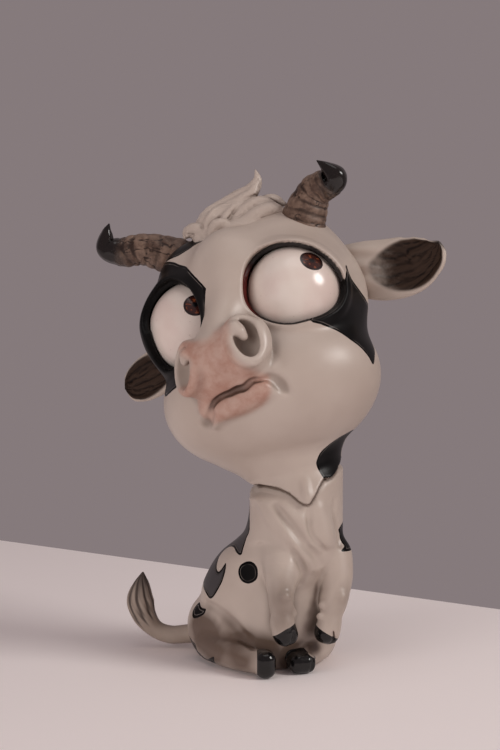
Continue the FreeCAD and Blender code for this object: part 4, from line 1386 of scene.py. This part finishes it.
def build_ear(side, name):
    if side < 0:
        pts = [(-27.5, 13, 8.5), (-34, 13.2, 7), (-42, 13.4, 3.6), (-49.5, 13.8, 2),
               (-54.6, 14.5, 1.4), (-57.4, 14.8, 1.2), (-58.8, 15, 1.1)]
        wide, thin = [6.4, 6.4, 7.8, 7.6, 6.2, 4.2, 0.5], [4.4, 3.6, 3.2, 2.6, 2.0, 1.3, 0.3]
    else:
        pts = [(27.5, 12.5, 14), (34, 12.8, 12.2), (41, 13.2, 9.8), (48.0, 13.8, 9.0),
               (53.6, 14.4, 10.2), (57.0, 14.8, 11.8), (58.8, 15, 13.4)]
        wide, thin = [8.0, 9.0, 9.8, 9.4, 7.4, 4.8, 0.5], [5.0, 4.0, 3.4, 2.8, 2.0, 1.3, 0.3]
    n_len, n_round = 120, 120
    up = (0, 0, 1)
    c, t, u, w, ex = sweep_grid(np.column_stack([pts, wide, thin]), n_len, n_round, up)
    # w should point to the front of the head
    if w[0] @ np.array([0, -1, 0]) < 0:
        w = -w
    a = np.linspace(0, 2 * math.pi, n_round, endpoint=False)
    s = np.linspace(0, 1, n_len)
    S, AA = np.meshgrid(s, a, indexing="ij")
    wd, th = np.maximum(ex[:, 0], 0.3)[:, None], np.maximum(ex[:, 1], 0.2)[:, None]
    X = np.cos(AA) * wd
    Y = np.sin(AA) * th
    face = step(np.sin(AA), 0.0, 0.25)
    edge = np.clip(1 - (X / wd) ** 2, 0, 1)
    oval = 1 - np.hypot((S - OVAL[side][0]) / OVAL[side][1], X / wd / 0.97)
    bowl = step(oval, 0.0, 0.12)
    scoop = face * edge ** 0.5 * step(oval, 0.0, 0.40) * th * 1.45
    # ribs fan out from the root of the hollow
    spot = np.stack([X.ravel() / wd.ravel().repeat(n_round) * 5.0, S.ravel() * 9.0,
                     np.zeros(X.size)], 1)
    stray = noise(spot, 1.0, 4 + side).reshape(X.shape)
    fan = X / wd * (6.0 + 2.0 * S) + 0.8 * stray + 0.9 * np.sin(S * 4)
    rib = 0.6 * np.abs(np.sin(fan * 1.5 + 0.4 * side)) ** 0.8 + \
        0.4 * np.abs(np.sin(fan * 4.3 + 2.0 * stray))
    Y = Y - scoop + face * bowl * edge * 0.5 * rib
    # folds that run into the root of the ear
    root = step(S, 0.42, 0.12)
    X = X * (1 - 0.05 * root * np.cos(AA * 5 + 1))
    Y = Y + root * 0.55 * np.sin(X * 1.15 + 1.0) * face
    v = c[:, None, :] + X[..., None] * u[:, None, :] + Y[..., None] * w[:, None, :]
    v = np.vstack([v.reshape(-1, 3), c[0], c[-1]])
    inner = (face * bowl).ravel()
    faces = grid_faces(n_len, n_round)
    along = np.concatenate([S.ravel(), [0, 1]])
    inner = np.concatenate([inner, [0, 0]])
    ribv = np.concatenate([(rib * face).ravel(), [0, 0]])
    # orientation of the faces
    vv = v[:-2].reshape(n_len, n_round, 3)
    mid = vv[20].mean(0)
    p0, p1, p2 = vv[20, 5], vv[20, 6], vv[21, 5]
    if np.cross(p1 - p0, p2 - p0) @ (p0 - mid) < 0:
        faces = [tuple(reversed(f)) for f in faces]
    return new_object("ear_" + name, to_world(v.astype(F4)), faces,
                      {"along": along, "inner": inner, "rib": ribv})


def build_tail():
    pts = [(-9.5, 19.8, 5.2), (-15, 24.4, 4.1), (-19.2, 27.2, 3.9), (-23.2, 29.6, 5.8),
           (-26.2, 31.2, 10), (-27.4, 32, 15), (-27, 31.8, 20), (-26.6, 31.5, 24.4)]
    rad = [3.2, 3.0, 2.9, 2.9, 3.9, 4.5, 3.0, 0.3]
    n_len, n_round = 170, 96
    c, t, u, w, ex = sweep_grid(np.column_stack([pts, rad]), n_len, n_round)
    a = np.linspace(0, 2 * math.pi, n_round, endpoint=False)
    s = np.linspace(0, 1, n_len)
    S, AA = np.meshgrid(s, a, indexing="ij")
    R = np.maximum(ex[:, 0], 0.25)[:, None]
    tuft = step(S, 0.42, 0.62)
    twist = AA + 1.8 * S
    groove = np.abs(np.sin(twist * 4.5 + 1.3 * np.sin(S * 6))) ** 0.7
    fine = 0.5 + 0.5 * np.sin(twist * 17 + 2 * np.sin(S * 9))
    R2 = R * (1 - 0.11 * tuft * (1 - groove)) - 0.07 * tuft * fine
    v = c[:, None, :] + (np.cos(AA) * R2)[..., None] * u[:, None, :] + \
        (np.sin(AA) * R2 * (1 - 0.12 * tuft))[..., None] * w[:, None, :]
    v = np.vstack([v.reshape(-1, 3), c[0], c[-1]])
    gv = np.concatenate([(tuft * (1 - groove) + 0.35 * tuft * (1 - fine)).ravel(), [0, 0]])
    along = np.concatenate([S.ravel(), [0, 1]])
    return new_object("tail_tuft", v, grid_faces(n_len, n_round), {"along": along, "groove": gv})


def lock_field():
    f0 = head_skin
    T = []

    def lock(pts, rad, n=26):
        T.append(Tube(pts, rad, n=n, margin=4))
    # the big lock sweeps up from between the horns to its tip
    lock([(-8, -9, 33), (-6, -8, 36.5), (-1.5, -6, 39.5), (4, -5, 42), (9, -4.4, 43.6),
          (12, -4, 46.5), (12.2, -4, 50)], [3.6, 4.2, 4.0, 3.4, 2.6, 1.5, 0.3])
    lock([(-5, -11, 33), (-3, -10, 36), (1, -8.4, 38.4), (6, -7, 40.4), (10, -6, 42.4),
          (12.6, -5.4, 45.5)], [2.6, 3.0, 3.0, 2.6, 1.9, 0.4])
    lock([(-11, -5, 33.5), (-9.5, -3, 37.5), (-4.5, -1, 40.5), (2, 0, 42.2), (7.5, -1, 43.4)],
         [3.2, 3.6, 3.4, 2.8, 1.2])
    # curl ball at the root, in front
    lock([(-3.5, -13.2, 32.0), (-1.0, -13.6, 34.0), (1.6, -12.6, 33.6), (1.2, -12.4, 31.6)],
         [1.6, 1.9, 1.6, 0.9], 18)
    # small locks to the cow's left
    lock([(3, -9, 33.5), (7, -8, 36.5), (12, -6.4, 38), (16, -5, 37)], [2.6, 3.0, 2.6, 0.8])
    lock([(6, -10, 32), (10.5, -9, 34), (15.5, -7, 35), (19, -5, 33.6)], [2.2, 2.5, 2.2, 0.6])
    lock([(4, -3, 35), (9, -2, 38), (14, -1.4, 39), (18, -1.5, 37)], [3.0, 3.2, 2.6, 0.8])
    # curls to the cow's right
    lock([(-9, -9, 33.5), (-11, -9, 36), (-13.4, -8, 37.2), (-15.2, -7.5, 36)],
         [2.0, 2.3, 1.8, 0.7])
    lock([(-6.5, -11, 33.5), (-8.6, -11.4, 35.8), (-11.2, -11, 36.6), (-12.8, -10.6, 35.2)],
         [1.8, 2.0, 1.6, 0.7])
    lock([(-9, -3, 34.5), (-11.5, -3, 37.6), (-14, -4, 38.4), (-15.6, -5, 37)], [2.4, 2.4, 1.9, 0.8])
    # thin strands that curve over the big lock
    lock([(-9.5, -8, 34), (-8.6, -8.6, 38), (-4.5, -8.4, 41), (1.5, -7, 42.6), (6.5, -5.6, 44.4)],
         [1.0, 1.4, 1.5, 1.2, 0.4])
    lock([(-4.0, -12.4, 33), (-4.4, -12, 36.2), (-1.6, -10.8, 39.2), (3.2, -9, 41.2)],
         [0.9, 1.3, 1.4, 0.4])
    lock([(0.5, -12.2, 33.5), (1.5, -11.6, 36), (4.6, -9.8, 38.6), (8.6, -8, 39.6)], [0.9, 1.3, 1.3, 0.4])
    base = ((0.5, -5.0, 31.5), (14.0, 9.0, 5.2))

    def f(p):
        out = ell(p, base[0], base[1])
        for t in T:
            out = sm(out, t(p), 0.7)
        return out
    return f, T


def build_forelock():
    f, T = lock_field()

    def g(p):
        v = f(p)
        # fine combing
        s = noise(p * A(0.22, 1.5, 1.0), 0.95, 3)
        return v + 0.20 * np.abs(s)

    def cut(p):
        return np.maximum(g(p), -(head_skin(p) + 1.0))
    v, q = field_mesh(cut, (-23, -18, 24), (23, 7, 52), 0.3)
    v, q = largest(v, q)
    n = vertex_normals(v, q)
    # painted shade in the grooves between the locks, together with the brown wash
    wash_and_shade = 1.0 * occlusion(f, v, n, 1.2) ** 1.2 + 0.4 * occlusion(f, v, n, 3.0) ** 1.4
    tick("forelock %d" % len(q))
    return new_object("lock_hair", to_world(v), q,
                      {"paint": np.full(len(v), -3.0), "wash_and_shade": wash_and_shade, "worn": np.zeros(len(v))})


# ------------------------------------------------------------------- materials 2
def eye_material():
    m, nt, bsdf = material("eye_lacquer")
    g = Nodes(nt)
    big = g.noise(60.0, 3.0, 0.5)
    base = g.mix(g.ramp(big, 0.42, 0.72), (0.70, 0.61, 0.545), (0.65, 0.525, 0.47))
    base = g.mix(g.ramp(g.noise(900.0, 2.0), 0.70, 0.76, 0, 0.5), base, (0.35, 0.25, 0.2))
    ang = g.attr("iris")
    fl = g.attr("fleck")
    ir = g.mix(g.ramp(fl, 0.15, 0.6), (0.040, 0.010, 0.007), (0.20, 0.05, 0.018))
    ir = g.mix(g.ramp(ang, 3.0, 4.2), (0.002, 0.002, 0.003), ir)
    ir = g.mix(g.ramp(ang, 10.6, 12.4), ir, (0.012, 0.004, 0.004))
    col = g.mix(g.ramp(ang, 14.1, 14.6), ir, base)
    g.link(col, bsdf.inputs["Base Color"])
    bsdf.inputs["Roughness"].default_value = 0.22
    bsdf.inputs["Coat Weight"].default_value = 0.5
    bsdf.inputs["Coat Roughness"].default_value = 0.2
    return m


def horn_material():
    m, nt, bsdf = material("horn_bark")
    g = Nodes(nt)
    n1 = g.noise(260.0, 5.0, 0.7)
    base = g.mix(g.ramp(n1, 0.33, 0.66), (0.20, 0.13, 0.095), (0.075, 0.042, 0.029))
    gr = g.math("ADD", g.attr("groove"), g.math("MULTIPLY", g.math("SUBTRACT", n1, 0.5), 0.5))
    base = g.mix(g.ramp(gr, 0.15, 0.75), base, (0.028, 0.014, 0.009))
    t = g.math("ADD", g.attr("along"), g.math("MULTIPLY", g.math("SUBTRACT", n1, 0.5), 0.06))
    black = g.ramp(t, 0.40, 0.56)
    col = g.mix(black, base, (0.0085, 0.006, 0.0055))
    g.link(col, bsdf.inputs["Base Color"])
    g.link(g.ramp(black, 0, 1, 0.52, 0.14), bsdf.inputs["Roughness"])
    g.link(g.bump(n1, 0.35, 0.0004), bsdf.inputs["Normal"])
    return m


def ear_material():
    m, nt, bsdf = material("ear_resin")
    g = Nodes(nt)
    n1 = g.noise(60.0, 3.0, 0.5)
    base = g.mix(g.ramp(n1, 0.3, 0.75), (0.48, 0.40, 0.345), (0.41, 0.335, 0.285))
    dark = g.mix(g.ramp(g.attr("rib"), 0.1, 0.9), (0.006, 0.0035, 0.003), (0.040, 0.024, 0.017))
    t = g.attr("along")
    inn = g.attr("inner")
    uneven = g.math("MULTIPLY", g.math("SUBTRACT", g.noise(190.0, 3.0, 0.6), 0.5), 0.35)
    amt = g.math("MULTIPLY", inn, g.ramp(g.math("ADD", t, uneven), 0.16, 0.42, 0.55, 1.0))
    col = g.mix(amt, base, dark)
    tip = g.ramp(g.math("ADD", t, g.math("MULTIPLY", g.math("SUBTRACT", n1, 0.5), 0.1)), 0.86, 0.99)
    col = g.mix(g.math("MULTIPLY", tip, 0.92), col, (0.02, 0.014, 0.012))
    g.link(col, bsdf.inputs["Base Color"])
    bsdf.inputs["Roughness"].default_value = 0.46
    g.link(g.math("SUBTRACT", 0.5, g.math("MULTIPLY", amt, 0.36)), bsdf.inputs["Specular IOR Level"])
    return m


def tail_material():
    m, nt, bsdf = material("tail_resin")
    g = Nodes(nt)
    n1 = g.noise(90.0, 3.0, 0.5)
    base = g.mix(g.ramp(n1, 0.3, 0.75), (0.36, 0.29, 0.24), (0.27, 0.21, 0.17))
    t = g.attr("along")
    gr = g.attr("groove")
    base = g.mix(g.ramp(gr, 0.1, 0.9, 0, 0.92), base, (0.05, 0.035, 0.028))
    amt = g.ramp(g.math("ADD", t, g.math("MULTIPLY", g.math("SUBTRACT", n1, 0.5), 0.12)), 0.72, 0.98)
    col = g.mix(g.math("MULTIPLY", amt, 0.85), base, (0.03, 0.02, 0.018))
    g.link(col, bsdf.inputs["Base Color"])
    bsdf.inputs["Roughness"].default_value = 0.38
    return m


# ------------------------------------------------------------------ put together
def put(ob, mat, body, slot, *nodes):
    ob.data.materials.append(mat)
    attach(ob, body)
    if nodes:
        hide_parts(*nodes)
    return ob


resin_head = resin_material("resin_head", pink=True, socket=True)
resin_body = resin_material("resin_body", hooves=True)
resin_hair = resin_material("resin_hair")
heads = build_head()
tick("head")
for node, ob in heads.items():
    put(ob, resin_head, "head", "head", node)
put(build_body(), resin_body, "torso", "body", "body_shell")
tick("body")
eye_mat, horn_mat, ear_mat = eye_material(), horn_material(), ear_material()
for side, word in ((-1, "right"), (1, "left")):
    put(build_eyeball(side, word), eye_mat, "head", "eyeballs", word + "_eyeball")
    put(build_horn(side, word), horn_mat, "head", "horns", word + "_horn")
    put(build_ear(side, word), ear_mat, "head", "ears", word + "_ear")
put(build_tail(), tail_material(), "torso", "tail", "tail")
put(build_forelock(), resin_hair, "head", "hair", "forelock")
tick("small parts")


def wire_material():
    m, nt, bsdf = material("spring_wire")
    g = Nodes(nt)
    drawn = g.noise(900.0, 3.0, 0.6)
    g.link(g.mix(g.ramp(drawn, 0.3, 0.7), (0.56, 0.57, 0.58), (0.40, 0.41, 0.42)),
           bsdf.inputs["Base Color"])
    bsdf.inputs["Metallic"].default_value = 1.0
    g.link(g.ramp(drawn, 0.3, 0.7, 0.22, 0.38), bsdf.inputs["Roughness"])
    return m


def moulded_material(name, light, dark, rough):
    m, nt, bsdf = material(name)
    g = Nodes(nt)
    cloud, grain = g.noise(60.0, 3.0, 0.5), g.noise(1100.0, 2.0, 0.5)
    g.link(g.mix(g.ramp(cloud, 0.3, 0.7), light, dark), bsdf.inputs["Base Color"])
    g.link(g.ramp(grain, 0.3, 0.7, rough, rough + 0.12), bsdf.inputs["Roughness"])
    g.link(g.bump(grain, 0.25, 0.00008), bsdf.inputs["Normal"])
    return m


seat_mat = moulded_material("spring_seat_plastic", (0.62, 0.59, 0.53), (0.55, 0.52, 0.46), 0.42)
finishes = {"neck_spring_lower_half": wire_material(), "neck_spring_cup": seat_mat,
            "head_spring_plug": seat_mat,
            "base_plug": moulded_material("plug_rubber", (0.014, 0.014, 0.015), (0.02, 0.02, 0.02), 0.62)}
finishes["neck_spring_upper_half"] = finishes["neck_spring_lower_half"]
for node, finish in finishes.items():
    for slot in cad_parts[node].material_slots:
        slot.material = finish

# -------------------------------------------------------------- stage, camera, light
def area(name, loc, look, size, power, colour, size_y=None):
    d = bpy.data.lights.new(name, "AREA")
    d.energy = power
    d.color = colour
    d.shape = "RECTANGLE" if size_y else "DISK"
    d.size = size
    if size_y:
        d.size_y = size_y
    o = bpy.data.objects.new(name, d)
    bpy.context.scene.collection.objects.link(o)
    z = np.array(loc, float) - np.array(look, float)
    z /= np.linalg.norm(z)
    x = np.cross([0, 0, 1.0], z)
    x /= np.linalg.norm(x)
    y = np.cross(z, x)
    m = Matrix(((x[0], y[0], z[0], loc[0]), (x[1], y[1], z[1], loc[1]), (x[2], y[2], z[2], loc[2]),
                (0, 0, 0, 1)))
    o.matrix_world = m
    return o


def plane(name, corners):
    me = bpy.data.meshes.new(name)
    me.from_pydata([tuple(float(c) for c in p) for p in corners], [], [(0, 1, 2, 3)])
    o = bpy.data.objects.new(name, me)
    bpy.context.scene.collection.objects.link(o)
    return o


edge_a, edge_b = RIGHT * -0.113 + FRONT * -0.218, RIGHT * 0.0847 + FRONT * -0.073
along = (edge_b - edge_a) / np.linalg.norm(edge_b - edge_a)
toward = np.array([along[1], -along[0], 0.0])
if toward @ FRONT < 0:
    toward = -toward
corner = [edge_a - along * 2.2, edge_b + along * 2.2]
table = plane("table_top", [c + UP * -0.0002 for c in
                            (corner[0], corner[0] + toward * 3.4, corner[1] + toward * 3.4, corner[1])])
m, nt, bsdf = material("table_paint")
bsdf.inputs["Base Color"].default_value = (0.98, 0.90, 0.885, 1)
bsdf.inputs["Roughness"].default_value = 0.6
table.data.materials.append(m)

world = bpy.data.worlds.new("studio")
bpy.context.scene.world = world
world.use_nodes = True
bg = world.node_tree.nodes["Background"]
bg.inputs["Color"].default_value = (0.235, 0.195, 0.20, 1)
bg.inputs["Strength"].default_value = 1.0

C = np.array([0.0, 0.0, 0.09])
fr, ri = FRONT, RIGHT
key = C + ri * 0.75 + fr * 0.35 + UP * 0.50
area("key_right", key, C, 0.38, 4.5, (1.0, 0.97, 0.94))
fill = C - ri * 0.7 + fr * 0.9 + UP * 0.03
soft = area("fill_left", fill, C, 1.0, 9.3, (1.0, 0.975, 0.97))
soft.visible_glossy = False
soft.data.specular_factor = 0.1
topl = C + fr * 0.2 + UP * 1.2
area("top_soft", topl, C, 0.8, 1.5, (1.0, 0.98, 0.96))
bpy.context.scene.view_settings.view_transform = "Standard"

cam = bpy.data.cameras.new("camera")
cam.lens = 85.0
cam.sensor_width = 36.0
cam.sensor_fit = "AUTO"
cam.clip_end = 20
co = bpy.data.objects.new("camera", cam)
bpy.context.scene.collection.objects.link(co)
loc = EYE_POINT / 1000
co.matrix_world = Matrix((
    (RIGHT[0], UPWARD[0], BACKWARD[0], loc[0]),
    (RIGHT[1], UPWARD[1], BACKWARD[1], loc[1]),
    (RIGHT[2], UPWARD[2], BACKWARD[2], loc[2]),
    (0, 0, 0, 1)))
bpy.context.scene.camera = co

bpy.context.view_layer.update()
tick("all")
